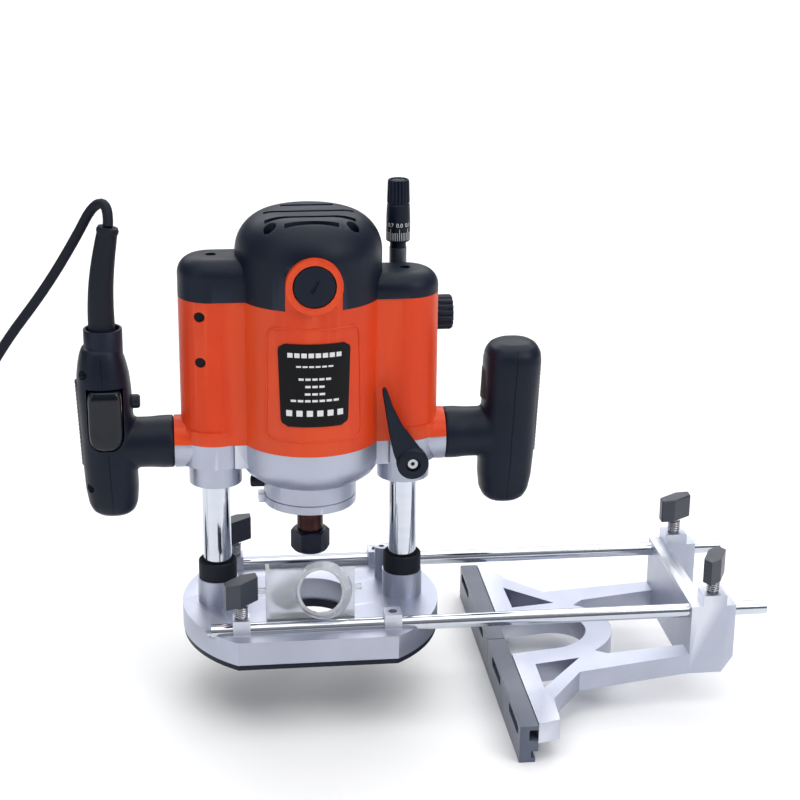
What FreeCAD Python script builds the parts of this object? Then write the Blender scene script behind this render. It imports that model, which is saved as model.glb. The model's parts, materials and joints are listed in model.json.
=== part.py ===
"""Plunge router with its side fence, as a parametric FreeCAD document.

Frame: millimetres, +Z up, +X along the guide rods towards the side fence, -Y towards the user's
front. The origin is where the spindle's axis meets the underside of the sole.
"""
import FreeCAD, Part
import math
import os
import re
import Sketcher
from FreeCAD import Placement, Rotation, Vector

doc = FreeCAD.newDocument("plunge_router")

# ---------------------------------------------------------------- driving dimensions
DIMENSIONS = {
    # base: a disc with two flats, a black sole under an aluminium casting
    "base_rad": 91.5, "base_flat": 72.9, "sole_thick": 4.0, "base_top": 21.0, "sole_inset": 0.6,
    "sole_opening_rad": 25.0, "base_opening_rad": 29.0, "sole_screw_rad": 2.5, "sole_screw_x": 40.0,
    "sole_screw_y": 44.0, "boss_rad": 14.3, "boss_top": 39.5, "socket_floor": 8.0,
    # guide rods and the posts that clamp them
    "rod_rad": 5.0, "rod_y": 54.5, "rod_z": 22.0, "rod_start": -73.0, "rod_end_front": 320.8,
    "rod_end_back": 318.0, "slide_gap": 0.05, "post_left_x": -52.0, "post_right_x": 53.0,
    "post_wide": 12.0, "post_deep": 13.5, "post_top": 31.5, "stud_rad": 3.0,
    # the depth stop's screw boss on the base
    "stop_x": 64.5, "stop_y": 28.0, "stop_rad": 5.2, "stop_top": 45.0,
    # columns
    "column_rad": 10.0, "column_x": 66.0, "column_top": 204.0, "column_bore": 6.8, "travel": 50.0,
    "ring_rad": 13.5, "ring_top": 53.0, "ring_lip": 2.6, "spring_rad": 6.0, "spring_bore": 4.2,
    # motor head: split planes and radii
    "split_low": 146.0, "split_high": 248.0, "body_rad": 50.0, "body_bore": 43.5, "cap_top": 305.0,
    "tower_rad": 23.0, "band_proud": 1.2, "band_top": 156.0, "tower_left_top": 276.0,
    "tower_right_top": 264.0, "tower_bore": 11.0, "web_half": 22.4,
    "flange_low": 129.0, "guide_rad": 18.4, "guide_low": 113.0, "bush_rad": 12.8,
    "bell_rad": 50.0, "bell_low": 122.0, "bell_low_rad": 45.0, "neck_top": 116.0, "collar_rad": 32.5,
    "collar_low": 103.0, "ring_low": 94.5, "collar_bore": 10.6,
    # handles
    "stem_rad": 18.3, "stem_z": 143.0, "stem_start": 94.0, "flange_start": 86.0, "grip_rad": 20.3,
    "grip_x": 140.0, "grip_low": 92.0, "grip_high": 210.0, "grip_lean": 2.5, "grip_wall": 3.2,
    "grip_top_round": 13.0, "grip_low_round": 9.0, "pad_thick": 0.7, "joint_gap": 0.3,
    # spindle, motor and collet
    "spindle_rad": 9.2, "spindle_low": 74.0, "spindle_top": 292.0, "thread_rad": 8.0,
    "collet_rad": 6.0, "collet_wall": 7.2, "collet_low": 56.5, "collet_high": 86.0,
    "nut_flats": 24.0, "nut_low": 58.0, "nut_high": 74.0, "nut_chamfer": 1.8,
    "stator_rad": 43.2, "stator_bore": 28.0, "core_rad": 27.0, "core_low": 164.0, "core_high": 226.0,
    "commutator_rad": 14.0, "commutator_low": 257.0, "commutator_high": 276.0, "fan_rad": 39.0,
    "fan_low": 133.0, "fan_high": 144.0, "bearing_rad": 17.5, "bearing_low": 104.5,
    "bearing_thick": 12.0, "top_bearing_low": 279.0, "top_bearing_rad": 13.0,
    # brush caps
    "brush_z": 266.0, "brush_rad": 14.0, "brush_boss_rad": 17.8, "brush_face": 52.5,
    "shroud_rad": 19.0, "shroud_bore": 14.6, "shroud_face": 53.5, "shroud_back": 44.0,
    # roundings, vents and screw wells of the caps
    "cap_round": 27.0, "tower_round": 12.0, "vent_wide": 4.5, "well_x": 27.5, "well_y": 27.0,
    "well_rad": 4.2, "well_floor": 294.0,
    # plunge lock lever
    "lever_x": 68.5, "lever_z": 133.0, "lever_face": 28.0, "lever_rad": 11.0, "lever_thick": 9.0,
    "lever_length": 59.0, "lever_tilt": 20.0, "lever_tip": 7.0, "lever_pin_rad": 3.5,
    # depth rod and its micrometer
    "depth_rod_rad": 6.0, "depth_low": 99.5, "depth_tube_rad": 11.0, "depth_tube_top": 257.0,
    "micro_low": 262.0, "micro_sleeve_top": 291.0, "micro_rad": 8.3, "micro_top": 319.0,
    "micro_top_rad": 7.4,
    # side clamp knob and speed dial
    "clamp_x": 91.0, "clamp_z": 223.0, "clamp_rad": 12.5, "clamp_thick": 12.0,
    "dial_z": 206.0, "dial_rad": 13.0, "dial_thick": 5.0,
    # switch trigger and its lock-off button in the left grip
    "trigger_wide": 23.0, "trigger_low": 145.0, "trigger_high": 187.0, "trigger_front": 24.0,
    "trigger_back": 9.0, "button_z": 173.0, "button_rad": 5.0, "arbor_angle": 180.0,
    "arbor_z": 111.0, "arbor_rad": 4.2, "arbor_out": 42.0, "arbor_in": 24.0,
    # side fence
    "fence_x": 130.4, "fence_thick": 12.9, "fence_top": -21.0, "fence_low": -48.0,
    "fence_half": 132.5, "fence_joint": 0.4, "casting_x": 143.6, "arm_x": 265.0, "block_x": 297.0,
    "beam_x": 276.0, "block_in": 46.5, "block_out": 62.5, "block_top": 28.0, "arm_top": -9.0,
    "foot_top": -20.0, "arm_deep": 15.0, "notch_rad": 27.0, "notch_x": 176.0, "notch_wall": 19.0,
    "boss_x": 281.5, "guide_boss_top": 36.0, "fence_slot": 36.0, "fence_slot_high": 7.0,
    # wing knobs
    "wing_long": 31.0, "wing_wide": 12.6, "wing_high": 19.0, "wing_lift": 9.5, "wing_cut": 6.0,
    # clear chip deflector
    "shield_left": -34.0, "shield_right": 27.5, "shield_y": -44.0, "shield_thick": 2.5,
    "shield_low": 21.0, "shield_high": 61.0, "shield_wing": 12.0, "visor_x": 5.5, "visor_y": -44.0,
    "visor_z": 45.0, "visor_rad": 20.3, "visor_front_rad": 16.5, "visor_wall": 2.0,
    "visor_deep": 13.0, "visor_tilt": 20.0, "visor_turn": 12.0,
    # mains cord
    "cord_rad": 3.5, "coil_x": -290.0, "coil_y": 62.0, "coil_out": 48.5, "coil_in": 27.5,
    "coil_high": 21.0, "floor_z": -48.0, "plug_rad": 18.0, "plug_long": 46.0, "sleeve_rad": 9.2,
    "sleeve_low": 209.0, "sleeve_top": 296.0, "sleeve_lean": 6.5,
}
WORD = re.compile(r"[a-z]\w*")

sheet = doc.addObject("Spreadsheet::Sheet", "dims")
for row, (alias, value) in enumerate(DIMENSIONS.items(), start=1):
    sheet.set(f"A{row}", alias)
    sheet.set(f"B{row}", str(value))
    sheet.setAlias(f"B{row}", alias)
doc.recompute()


# ---------------------------------------------------------------- helpers
def bind(text):
    """An expression on the sheet: every alias in the text gets the sheet's name."""
    return WORD.sub(lambda found: "dims." + found.group(0), str(text))


def number(text):
    """What an expression is worth now, in millimetres or degrees."""
    return float(sheet.evalExpression(bind(text)))


AXES = {"X": Rotation(Vector(0, 1, 0), 90), "Y": Rotation(Vector(1, 0, 0), -90), "Z": Rotation()}


def put(shape, at, axis="Z"):
    """Turn an object's local Z to an axis and bind its place to three expressions."""
    shape.Placement = Placement(Vector(), axis if isinstance(axis, Rotation) else AXES[axis])
    for letter, text in zip("xyz", at):
        shape.setExpression("Placement.Base." + letter, bind(text))
    return shape


def primitive(kind, name, at, axis="Z", **sizes):
    shape = doc.addObject("Part::" + kind, name)
    for size, text in sizes.items():
        shape.setExpression(size, bind(text))
    return put(shape, at, axis)


def cylinder(name, at, radius, height, axis="Z"):
    return primitive("Cylinder", name, at, axis, Radius=radius, Height=height)


def cone(name, at, radius, far_radius, height, axis="Z"):
    return primitive("Cone", name, at, axis, Radius1=radius, Radius2=far_radius, Height=height)


def box(name, at, length, width, height, axis="Z"):
    return primitive("Box", name, at, axis, Length=length, Width=width, Height=height)


def fuse(name, shapes):
    joined = doc.addObject("Part::MultiFuse", name)
    joined.Shapes = shapes
    joined.Refine = False
    return joined


def cut(name, base, tools):
    """The base less every tool."""
    tool = tools[0] if len(tools) == 1 else fuse(name + "_tools", tools)
    result = doc.addObject("Part::Cut", name)
    result.Base = base
    result.Tool = tool
    result.Refine = False
    return result


def common(name, first, second):
    result = doc.addObject("Part::Common", name)
    result.Base = first
    result.Tool = second
    return result


def group(name, shapes):
    """Several loose solids in one node."""
    result = doc.addObject("Part::Compound", name)
    result.Links = shapes
    return result


def rounded(name, base, rounds, wanted=lambda limits: True):
    """Fillet the level edges at the given heights of an upright solid, or only those wanted."""
    doc.recompute()
    result = doc.addObject("Part::Fillet", name)
    result.Base = base
    edges = []
    for index, edge in enumerate(base.Shape.Edges, start=1):
        limits = edge.BoundBox
        for height, radius in rounds:
            level = limits.ZLength < 0.01 and abs(limits.ZMin - number(height)) < 0.01
            if level and wanted(limits):
                edges.append((index, radius, radius))
    result.Edges = edges
    return result


def sketch_on(body, name, plane, corners):
    """A closed outline whose corners are bound to the sheet."""
    sketch = body.newObject("Sketcher::SketchObject", name)
    origin_plane = next(f for f in body.Origin.OriginFeatures if f.Role == plane)
    sketch.AttachmentSupport = (origin_plane, [""])
    sketch.MapMode = "FlatFace"
    points = [Vector(number(across), number(along), 0) for across, along in corners]
    for start, end in zip(points, points[1:] + points[:1]):
        sketch.addGeometry(Part.LineSegment(start, end), False)
    count = len(points)
    for index in range(count):
        sketch.addConstraint(Sketcher.Constraint("Coincident", index, 2, (index + 1) % count, 1))
    for index, (point, corner) in enumerate(zip(points, corners)):
        rules = (("DistanceX", -2, point.x, corner[0]), ("DistanceY", -1, point.y, corner[1]))
        for rule, line, value, text in rules:
            if abs(value) < 1e-6:
                sketch.addConstraint(Sketcher.Constraint("PointOnObject", index, 1, line))
                continue
            entry = sketch.addConstraint(Sketcher.Constraint(rule, -1, 1, index, 1, value))
            sketch.setExpression(f"Constraints[{entry}]", bind(text))
    return sketch


def slab(name, plane, corners, thick):
    """A body padded both ways from an origin plane."""
    body = doc.addObject("PartDesign::Body", name)
    sketch = sketch_on(body, name + "_outline", plane, corners)
    pad = body.newObject("PartDesign::Pad", name + "_pad")
    pad.Profile = sketch
    pad.SideType = "Symmetric"
    pad.setExpression("Length", bind(thick))
    return body


def turned(name, corners):
    """A body revolved about its own Z axis from (radius, height) corners."""
    body = doc.addObject("PartDesign::Body", name)
    sketch = sketch_on(body, name + "_half", "XZ_Plane", corners)
    spin = body.newObject("PartDesign::Revolution", name + "_turn")
    spin.Profile = sketch
    spin.ReferenceAxis = (sketch, ["V_Axis"])
    spin.Angle = 360
    return body


def ring(name, at, outer, inner, height, axis="Z"):
    """A plain tube."""
    wall = cylinder(name + "_wall", at, outer, height, axis)
    return cut(name, wall, [cylinder(name + "_hole", at, inner, height, axis)])


nodes = {}


def node(label, shape):
    """Name a finished sub-part: the label is the file's name."""
    shape.Label = label
    nodes[label] = shape
    return shape


SIDES = (("left", -1), ("right", 1))
ENDS = (("front", -1), ("back", 1))


# ---------------------------------------------------------------- base
def flatted_disc(name, radius, flat, low, high):
    disc = cylinder(name + "_disc", ("0", "0", low), radius, f"{high} - ({low})")
    sides = box(name + "_flats", (f"-({radius})", f"-({flat})", low), f"2 * ({radius})",
                f"2 * ({flat})", f"{high} - ({low})")
    return common(name, disc, sides)


def make_base():
    plate = flatted_disc("base_plate", "base_rad", "base_flat", "sole_thick", "base_top")
    solids = [plate]
    holes = [cylinder("base_opening", ("0", "0", "0"), "base_opening_rad", "base_top + 1")]
    for side, sign in SIDES:
        x = f"{sign} * column_x"
        solids.append(cylinder(f"boss_{side}", (x, "0", "sole_thick"), "boss_rad",
                               "boss_top - sole_thick"))
        holes.append(cylinder(f"socket_{side}", (x, "0", "socket_floor"), "column_rad", "60"))
    solids.append(cylinder("stop_boss", ("stop_x - 10", "stop_y", "sole_thick"), "stop_rad",
                           "stop_top - sole_thick"))
    solids.append(box("stop_pad", ("stop_x - 10", "stop_y - stop_rad", "sole_thick"), "15",
                      "2 * stop_rad", "stop_top - sole_thick"))
    holes.append(cylinder("stop_hole", ("stop_x - 10", "stop_y", "stop_top - 12"), "2", "13"))
    for end, sign in ENDS:
        y = f"{sign} * rod_y"
        holes.append(cylinder(f"rod_groove_{end}", ("rod_start - 30", y, "rod_z"),
                              "rod_rad + slide_gap", "220", "X"))
        for side in ("left", "right"):
            x = f"post_{side}_x"
            solids.append(box(f"post_{side}_{end}", (f"{x} - post_wide / 2", f"{y} - post_deep / 2",
                                                     "base_top - 2"),
                              "post_wide", "post_deep", "post_top - base_top + 2"))
            holes.append(cylinder(f"post_hole_{side}_{end}", (x, y, "rod_z"),
                                  "stud_rad + slide_gap", "20"))
    for number_x in (-1, 1):
        for number_y in (-1, 1):
            holes.append(cylinder(f"insert_{number_x + 1}{number_y + 1}",
                                  (f"{number_x} * sole_screw_x", f"{number_y} * sole_screw_y", "0"),
                                  "sole_screw_rad", "14"))
    node("base_casting", cut("base_casting", fuse("base_solids", solids), holes))

    sole = flatted_disc("sole_plate", "base_rad - sole_inset", "base_flat - sole_inset", "0",
                        "sole_thick")
    openings = [cylinder("sole_opening", ("0", "0", "-1"), "sole_opening_rad", "sole_thick + 2")]
    screws = []
    for number_x in (-1, 1):
        for number_y in (-1, 1):
            tag = f"{number_x + 1}{number_y + 1}"
            at = (f"{number_x} * sole_screw_x", f"{number_y} * sole_screw_y", "0.4")
            openings.append(cone("sink_" + tag, at, "5", "2.5", "2.5"))
            openings.append(cylinder("sink_hole_" + tag, at, "2.5", "6"))
            openings.append(cylinder("sink_mouth_" + tag, at[:2] + ("-1",), "5", "1.4"))
            head = cone("sole_screw_head_" + tag, at, "5", "2.5", "2.5")
            shank = cylinder("sole_screw_shank_" + tag, at[:2] + ("2.9",), "2.5", "9")
            socket = cylinder("sole_screw_socket_" + tag, at, "1.5", "1.8")
            screws.append(cut("sole_screw_" + tag, fuse("sole_screw_solid_" + tag, [head, shank]),
                              [socket]))
    node("base_sole", cut("base_sole", sole, openings))
    node("sole_screws", group("sole_screws", screws))


def make_columns():
    rings = []
    springs = []
    for side, sign in SIDES:
        x = f"{sign} * column_x"
        tube = cylinder(f"column_{side}_tube", (x, "0", "socket_floor"), "column_rad",
                        "column_top - socket_floor")
        bore = cylinder(f"column_{side}_bore", (x, "0", "socket_floor + 8"), "column_bore", "300")
        node(f"column_{side}", cut(f"column_{side}", tube, [bore]))
        lip = turned(f"bump_ring_{side}", [("column_rad", "boss_top"), ("ring_rad", "boss_top"),
                                           ("ring_rad", "ring_top - 1"),
                                           ("ring_rad - 0.8", "ring_top"),
                                           ("column_rad + ring_lip", "ring_top"),
                                           ("column_rad", "ring_top - 4")])
        rings.append(put(lip, (x, "0", "0")))
        springs.append(ring(f"plunge_spring_{side}", (x, "0", "socket_floor + 8"), "spring_rad",
                            "spring_bore", "column_top + travel - socket_floor - 8"))
    node("bump_rings", group("bump_rings", rings))
    node("plunge_springs", group("plunge_springs", springs))


def make_deflector():
    low = "shield_low"
    tall = "shield_high - shield_low"
    shield = box("shield_front", ("shield_left", "shield_y", low), "shield_right - shield_left",
                 "shield_thick", tall)
    wing = box("shield_wing_left", ("shield_left", "shield_y", low), "shield_thick",
               "shield_wing", tall)
    foot = box("shield_foot", ("shield_left", "shield_y", low), "shield_right - shield_left",
               "shield_wing", "shield_thick")
    facing = (Rotation(Vector(0, 0, 1), -number("visor_turn")) *
              Rotation(Vector(1, 0, 0), 90 - number("visor_tilt")))
    mouth = ("visor_x", "visor_y", "visor_z")
    tube = cone("visor_tube", mouth, "visor_rad", "visor_front_rad", "visor_deep", facing)
    slope = "(visor_rad - visor_front_rad) / visor_deep"
    start = facing.multVec(Vector(0, 0, -1))
    inside = (f"visor_x + ({start.x:.4f})", f"visor_y + ({start.y:.4f})",
              f"visor_z + ({start.z:.4f})")
    hole = cone("visor_hole", inside, f"visor_rad - visor_wall + {slope}",
                f"visor_front_rad - visor_wall - {slope}", "visor_deep + 2", facing)
    back = facing.multVec(Vector(0, 0, -24))
    behind = (f"visor_x + ({back.x:.3f})", f"visor_y + ({back.y:.3f})", f"visor_z + ({back.z:.3f})")
    view = cylinder("visor_view", behind, "visor_rad - visor_wall", "23.5", facing)
    pins = [cylinder("shield_pin_left", ("shield_left - 7", "shield_y + 3", "45"), "2.2", "8", "X"),
            cylinder("shield_pin_right", ("shield_right - 1", "shield_y + 3", "45"), "2.2", "6", "X")]
    solid = fuse("shield_solid", [shield, wing, foot, tube] + pins)
    node("chip_deflector", cut("chip_deflector", solid, [hole, view]))


# ---------------------------------------------------------------- wing knobs
KNOBS = (
    # name, x, y, top of its post, turn in degrees, pair of springs it belongs to
    ("base_front", "post_left_x", "-rod_y", "post_top", 40, "base"),
    ("base_back", "post_left_x", "rod_y", "post_top", 32, "base"),
    ("guide_front", "boss_x", "-rod_y", "guide_boss_top", 60, "guide"),
    ("guide_back", "boss_x", "rod_y", "guide_boss_top", 30, "guide"),
)


def make_knobs():
    springs = {"base": [], "guide": []}
    for name, x, y, top, turn, family in KNOBS:
        half = [("-wing_long / 2", "-2"), ("-wing_cut", "-wing_wide / 2"),
                ("wing_long / 2 - 4", "-wing_wide / 2 + 1.4")]
        plan = slab(f"wing_plan_{name}", "XY_Plane",
                    half + [(f"-({along})", f"-({across})") for along, across in half],
                    "wing_high * 3")
        room = box(f"wing_room_{name}", ("-wing_long", "-wing_long", "1.5"), "2 * wing_long",
                   "2 * wing_long", "wing_high - 1.5")
        blade = common(f"blade_{name}", plan, room)
        put(blade, (x, y, f"{top} + wing_lift"), Rotation(Vector(0, 0, 1), turn))
        pocket = cylinder(f"pocket_{name}", (x, y, "rod_z + rod_rad + 0.3"), "stud_rad",
                          f"{top} + wing_lift + 12 - rod_z - rod_rad - 0.3")
        node(f"wing_knob_{name}", cut(f"wing_knob_{name}", blade, [pocket]))
        node(f"knob_stud_{name}", cylinder(f"knob_stud_{name}", (x, y, "rod_z + rod_rad + 0.3"),
                                           "stud_rad",
                                           f"{top} + wing_lift + 12 - rod_z - rod_rad - 0.3"))
        springs[family].append(ring(f"knob_spring_{name}", (x, y, top), "stud_rad + 1.9",
                                    "stud_rad + 0.5", "wing_lift - 0.4"))
    node("base_knob_springs", group("base_knob_springs", springs["base"]))
    node("guide_knob_springs", group("guide_knob_springs", springs["guide"]))


# ---------------------------------------------------------------- side fence
def make_guide():
    rods = []
    for end, sign in ENDS:
        rods.append(cylinder(f"guide_rod_{end}", ("rod_start", f"{sign} * rod_y", "rod_z"),
                             "rod_rad", f"rod_end_{end} - rod_start", "X"))
    node("guide_rods", group("guide_rods", rods))

    half = [("casting_x", "fence_half - 1.5"), ("158.5", "129"), ("160", "100"), ("185", "67"),
            ("262", "block_out"), ("block_x", "block_out"), ("block_x", "block_in"),
            ("beam_x", "block_in")]
    mirrored = [(x, f"-({y})") for x, y in reversed(half)]
    plan = slab("guide_plan", "XY_Plane", half + mirrored, "200")
    side = slab("guide_side", "XZ_Plane",
                [("casting_x", "foot_top"), ("arm_x", "arm_top"), ("arm_x", "block_top"),
                 ("block_x", "block_top"), ("block_x", "-12"), ("block_x - 8", "arm_top - arm_deep"),
                 ("arm_x", "arm_top - arm_deep"), ("casting_x", "foot_top - arm_deep")], "400")
    plate = common("guide_plate", plan, side)
    window_half = [("arm_x", "block_in"), ("210", "45"), ("200", "36")]
    window_plan = slab("guide_window", "XY_Plane",
                       window_half + [(x, f"-({y})") for x, y in reversed(window_half)], "200")
    hoop = cylinder("notch_hoop", ("notch_x", "0", "-60"), "notch_rad + notch_wall", "60")
    hoop_side = slab("hoop_side", "XZ_Plane",
                     [("casting_x", "foot_top"), ("arm_x", "arm_top"),
                      ("arm_x", "arm_top - arm_deep"), ("casting_x", "foot_top - arm_deep")], "300")
    bosses = []
    bores = [cylinder("notch_round", ("notch_x", "0", "-60"), "notch_rad", "70"),
             box("notch_mouth", ("casting_x - 1", "-notch_rad", "-60"), "notch_x - casting_x + 1",
                 "2 * notch_rad", "70")]
    for end, sign in ENDS:
        y = f"{sign} * rod_y"
        bosses.append(box(f"guide_boss_{end}", ("boss_x - 8.5", f"{y} - 8", "block_top - 4"), "17",
                          "16", "guide_boss_top - block_top + 4"))
        bores.append(cylinder(f"guide_bore_{end}", ("200", y, "rod_z"), "rod_rad + slide_gap",
                              "120", "X"))
        bores.append(cylinder(f"guide_thread_{end}", ("boss_x", y, "rod_z"),
                              "stud_rad + slide_gap", "20"))
        lightening = [("156.5", f"{sign} * 83"), ("189", f"{sign} * 46"), ("157", f"{sign} * 47")]
        bores.append(slab(f"guide_triangle_{end}", "XY_Plane", lightening, "200"))
    screws = []
    for end, sign in ENDS:
        for place in (38, 108):
            at = ("casting_x - 8", f"{sign * place}", "fence_top - 6.5")
            thread = "fence_screw_" + end + str(place)
            bores.append(cylinder(thread + "_hole", at, "2", "16", "X"))
            shank = cylinder(thread + "_shank", at, "2", "15", "X")
            head = cylinder(thread + "_head", ("casting_x - 10.5", at[1], at[2]), "3.2", "2.5", "X")
            socket = cylinder(thread + "_socket", ("casting_x - 10.6", at[1], at[2]), "1.3", "1.6",
                              "X")
            screws.append(cut(thread, fuse(thread + "_solid", [shank, head]), [socket]))
    body = fuse("guide_solids", [cut("guide_frame", plate, [window_plan]),
                                 common("guide_hoop", hoop, hoop_side)] + bosses)
    node("guide_casting", cut("guide_casting", body, bores))
    node("fence_screws", group("fence_screws", screws))

    far = "fence_x + fence_thick"
    profile = [("fence_x", "fence_top"), (far, "fence_top"), (far, "fence_top - 3"),
               ("fence_x + 6.5", "fence_top - 3"), ("fence_x + 6.5", "fence_top - 11"),
               (far, "fence_top - 11"), (far, "fence_low + 8"), ("fence_x + 8", "fence_low + 8"),
               ("fence_x + 8", "fence_low + 3"), ("fence_x + 11", "fence_low + 3"),
               ("fence_x + 11", "fence_low"), ("fence_x", "fence_low")]
    for end, sign in ENDS:
        strip = slab(f"fence_strip_{end}", "XZ_Plane", profile, "fence_half - fence_joint")
        put(strip, ("0", f"{sign} * (fence_half + fence_joint) / 2", "0"))
        slots = []
        for place in (38, 108):
            name = f"fence_slot_{end}{place}"
            z = "fence_top - 6.5"
            slots.append(box(name, ("fence_x - 1", f"{sign * place} - (fence_slot - fence_slot_high) / 2",
                                    f"{z} - fence_slot_high / 2"),
                             "fence_thick + 2", "fence_slot - fence_slot_high", "fence_slot_high"))
            for way in (-1, 1):
                y = f"{sign * place} + {way} * (fence_slot - fence_slot_high) / 2"
                slots.append(cylinder(f"{name}_end{way + 1}", ("fence_x - 1", y, z),
                                      "fence_slot_high / 2", "fence_thick + 2", "X"))
        node(f"fence_{end}", cut(f"fence_{end}", strip, slots))


# ---------------------------------------------------------------- motor head
def make_housings():
    tall = "split_high - split_low"
    solids = [cylinder("body_shell", ("0", "0", "split_low"), "body_rad", tall),
              box("body_web", ("-column_x", "-web_half", "split_low"), "2 * column_x",
                  "2 * web_half", tall),
              cylinder("depth_tube", ("stop_x", "stop_y", "split_low"), "depth_tube_rad",
                       "depth_tube_top - split_low"),
              cylinder("clamp_boss", ("stop_x", "stop_y", "clamp_z"), "8", "clamp_x - stop_x - 1",
                       "X")]
    bores = [cylinder("motor_bore", ("0", "0", "split_low - 1"), "body_bore", "split_high"),
             cylinder("depth_bore", ("stop_x", "stop_y", "split_low - 1"),
                      "depth_rod_rad + slide_gap", "200"),
             cylinder("clamp_bore", ("stop_x + 3", "stop_y", "clamp_z"), "stud_rad + slide_gap",
                      "40", "X"),
             cylinder("dial_recess", ("0", "body_bore", "dial_z"), "dial_rad + 1", "30", "Y"),
             cylinder("dial_seat", ("0", "30", "dial_z"), "4.05", "30", "Y")]
    low_solids = [turned("bell", [("0", "split_low"), ("bell_rad", "split_low"),
                                  ("bell_rad", "flange_low + 4"), ("bell_rad - 1.2", "128"),
                                  ("bell_low_rad", "bell_low"), ("bell_low_rad - 6", "117.5"),
                                  ("collar_rad", "neck_top"), ("collar_rad", "collar_low"),
                                  ("0", "collar_low")]),
                  cylinder("depth_pad", ("stop_x", "stop_y", "flange_low + 4"), "depth_tube_rad",
                           "split_low - flange_low - 4")]
    low_bores = [turned("bell_hollow", [("0", "split_low + 1"), ("body_bore", "split_low + 1"),
                                        ("body_bore", "132"), ("36", "126"), ("26", "118.5"),
                                        ("bearing_rad", "117.5"), ("bearing_rad", "bearing_low"),
                                        ("collar_bore + 1", "bearing_low"),
                                        ("collar_bore + 1", "90"), ("0", "90")]),
                 cylinder("depth_bore_low", ("stop_x", "stop_y", "100"),
                          "depth_rod_rad + slide_gap", "60")]
    screws = []
    bushes = []
    for side, sign in SIDES:
        x = f"{sign} * column_x"
        solids += [cylinder(f"tower_{side}", (x, "0", "split_low"), "tower_rad", tall),
                   cylinder(f"tower_band_{side}", (x, "0", "split_low"), "tower_rad + band_proud",
                            "band_top - split_low")]
        bores.append(cylinder(f"tower_bore_{side}", (x, "0", "split_low - 1"), "tower_bore", "200"))
        low_solids += [cylinder(f"tower_flange_{side}", (x, "0", "flange_low"),
                                "tower_rad + band_proud", "split_low - flange_low"),
                       cylinder(f"guide_boss_{side}", (x, "0", "guide_low"), "guide_rad",
                                "flange_low - guide_low + 1"),
                       box(f"flange_web_{side}", (f"{x} / 2 - 20", "-web_half", "flange_low"), "40",
                           "2 * web_half", "split_low - flange_low")]
        low_bores.append(cylinder(f"bush_seat_{side}", (x, "0", "guide_low - 1"), "bush_rad", "60"))
        bushes.append(ring(f"bush_{side}", (x, "0", "guide_low + 1"), "bush_rad",
                           "column_rad + slide_gap", "split_low - guide_low - 1"))
        start = "-stem_start" if sign < 0 else "column_x"
        stem = cylinder(f"stem_root_{side}", (start, "0", "stem_z"), "stem_rad",
                        "stem_start - column_x", "X")
        upper = box(f"stem_upper_{side}", (start, "-30", "split_low"), "60", "60", "60")
        lower = box(f"stem_lower_{side}", (start, "-30", "split_low - 60"), "60", "60", "60")
        solids.append(common(f"stem_cap_{side}", stem, upper))
        low_solids.append(common(f"stem_half_{side}", stem, lower))
    for place in ("206", "238"):
        seat = ("-75", "-30", place)
        bores.append(cylinder("counterbore_" + place, seat, "3.6", "13", "Y"))
        bores.append(cylinder("screw_hole_" + place, seat, "1.8", "18.5", "Y"))
        head = cylinder("tower_screw_head_" + place, ("-75", "-19.8", place), "3.3", "2.6", "Y")
        shank = cylinder("tower_screw_shank_" + place, ("-75", "-17.3", place), "1.8", "5.8", "Y")
        screws.append(fuse("tower_screw_" + place, [head, shank]))
    low_solids.append(cylinder("lever_boss", ("lever_x", "-lever_face + 0.4", "lever_z"),
                               "lever_rad - 1", "14", "Y"))
    low_bores.append(cylinder("lever_hole", ("lever_x", "-lever_face - 2", "lever_z"),
                              "lever_pin_rad + slide_gap", "14", "Y"))
    for end, sign in ENDS:
        near = "-shroud_face" if sign < 0 else "shroud_back"
        deep = "shroud_face - shroud_back"
        block = box(f"tongue_block_{end}", ("-shroud_rad", near, "split_high - 1"),
                    "2 * shroud_rad", deep, "brush_z - split_high + 1")
        curve = cylinder(f"tongue_curve_{end}", ("0", "0", "split_high - 1"), "body_rad",
                         "brush_z - split_high + 1")
        solids += [cylinder(f"shroud_{end}", ("0", near, "brush_z"), "shroud_rad", deep, "Y"),
                   common(f"shroud_tongue_{end}", block, curve)]
        bores.append(cylinder(f"shroud_bore_{end}", ("0", near, "brush_z"), "shroud_bore", deep,
                              "Y"))
    arbor = Placement(Vector(0, 0, number("arbor_z")),
                      Rotation(Vector(0, 0, 1), number("arbor_angle")) * AXES["X"])
    guide = cylinder("arbor_hole", ("0", "0", "arbor_z"), "arbor_rad + 0.06", "collar_rad + 6",
                     arbor.Rotation)
    low_bores.append(guide)
    housing = cut("motor_housing", fuse("housing_solids", solids), bores)
    node("motor_housing", housing)
    node("lower_housing", cut("lower_housing", fuse("lower_solids", low_solids), low_bores))
    node("column_bushes", group("column_bushes", bushes))
    collar = turned("collar", [("collar_bore", "ring_low"), ("collar_rad - 5", "ring_low"),
                               ("collar_rad", "ring_low + 2"), ("collar_rad", "collar_low - 0.8"),
                               ("collar_rad - 1", "collar_low"), ("collar_bore", "collar_low")])
    lug = box("collar_lug", ("-collar_rad - 4", "-5", "ring_low + 2"), "8", "10", "6")
    ring_hole = cylinder("collar_hole", ("0", "0", "80"), "collar_bore", "40")
    node("collar_ring", cut("collar_ring", fuse("collar_solids", [collar, lug]), [ring_hole]))
    return screws


VENTS = ((-30.5, 36), (-18.5, 61), (-2.5, 61), (15, 36))  # each slot's place along Y and length


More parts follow.
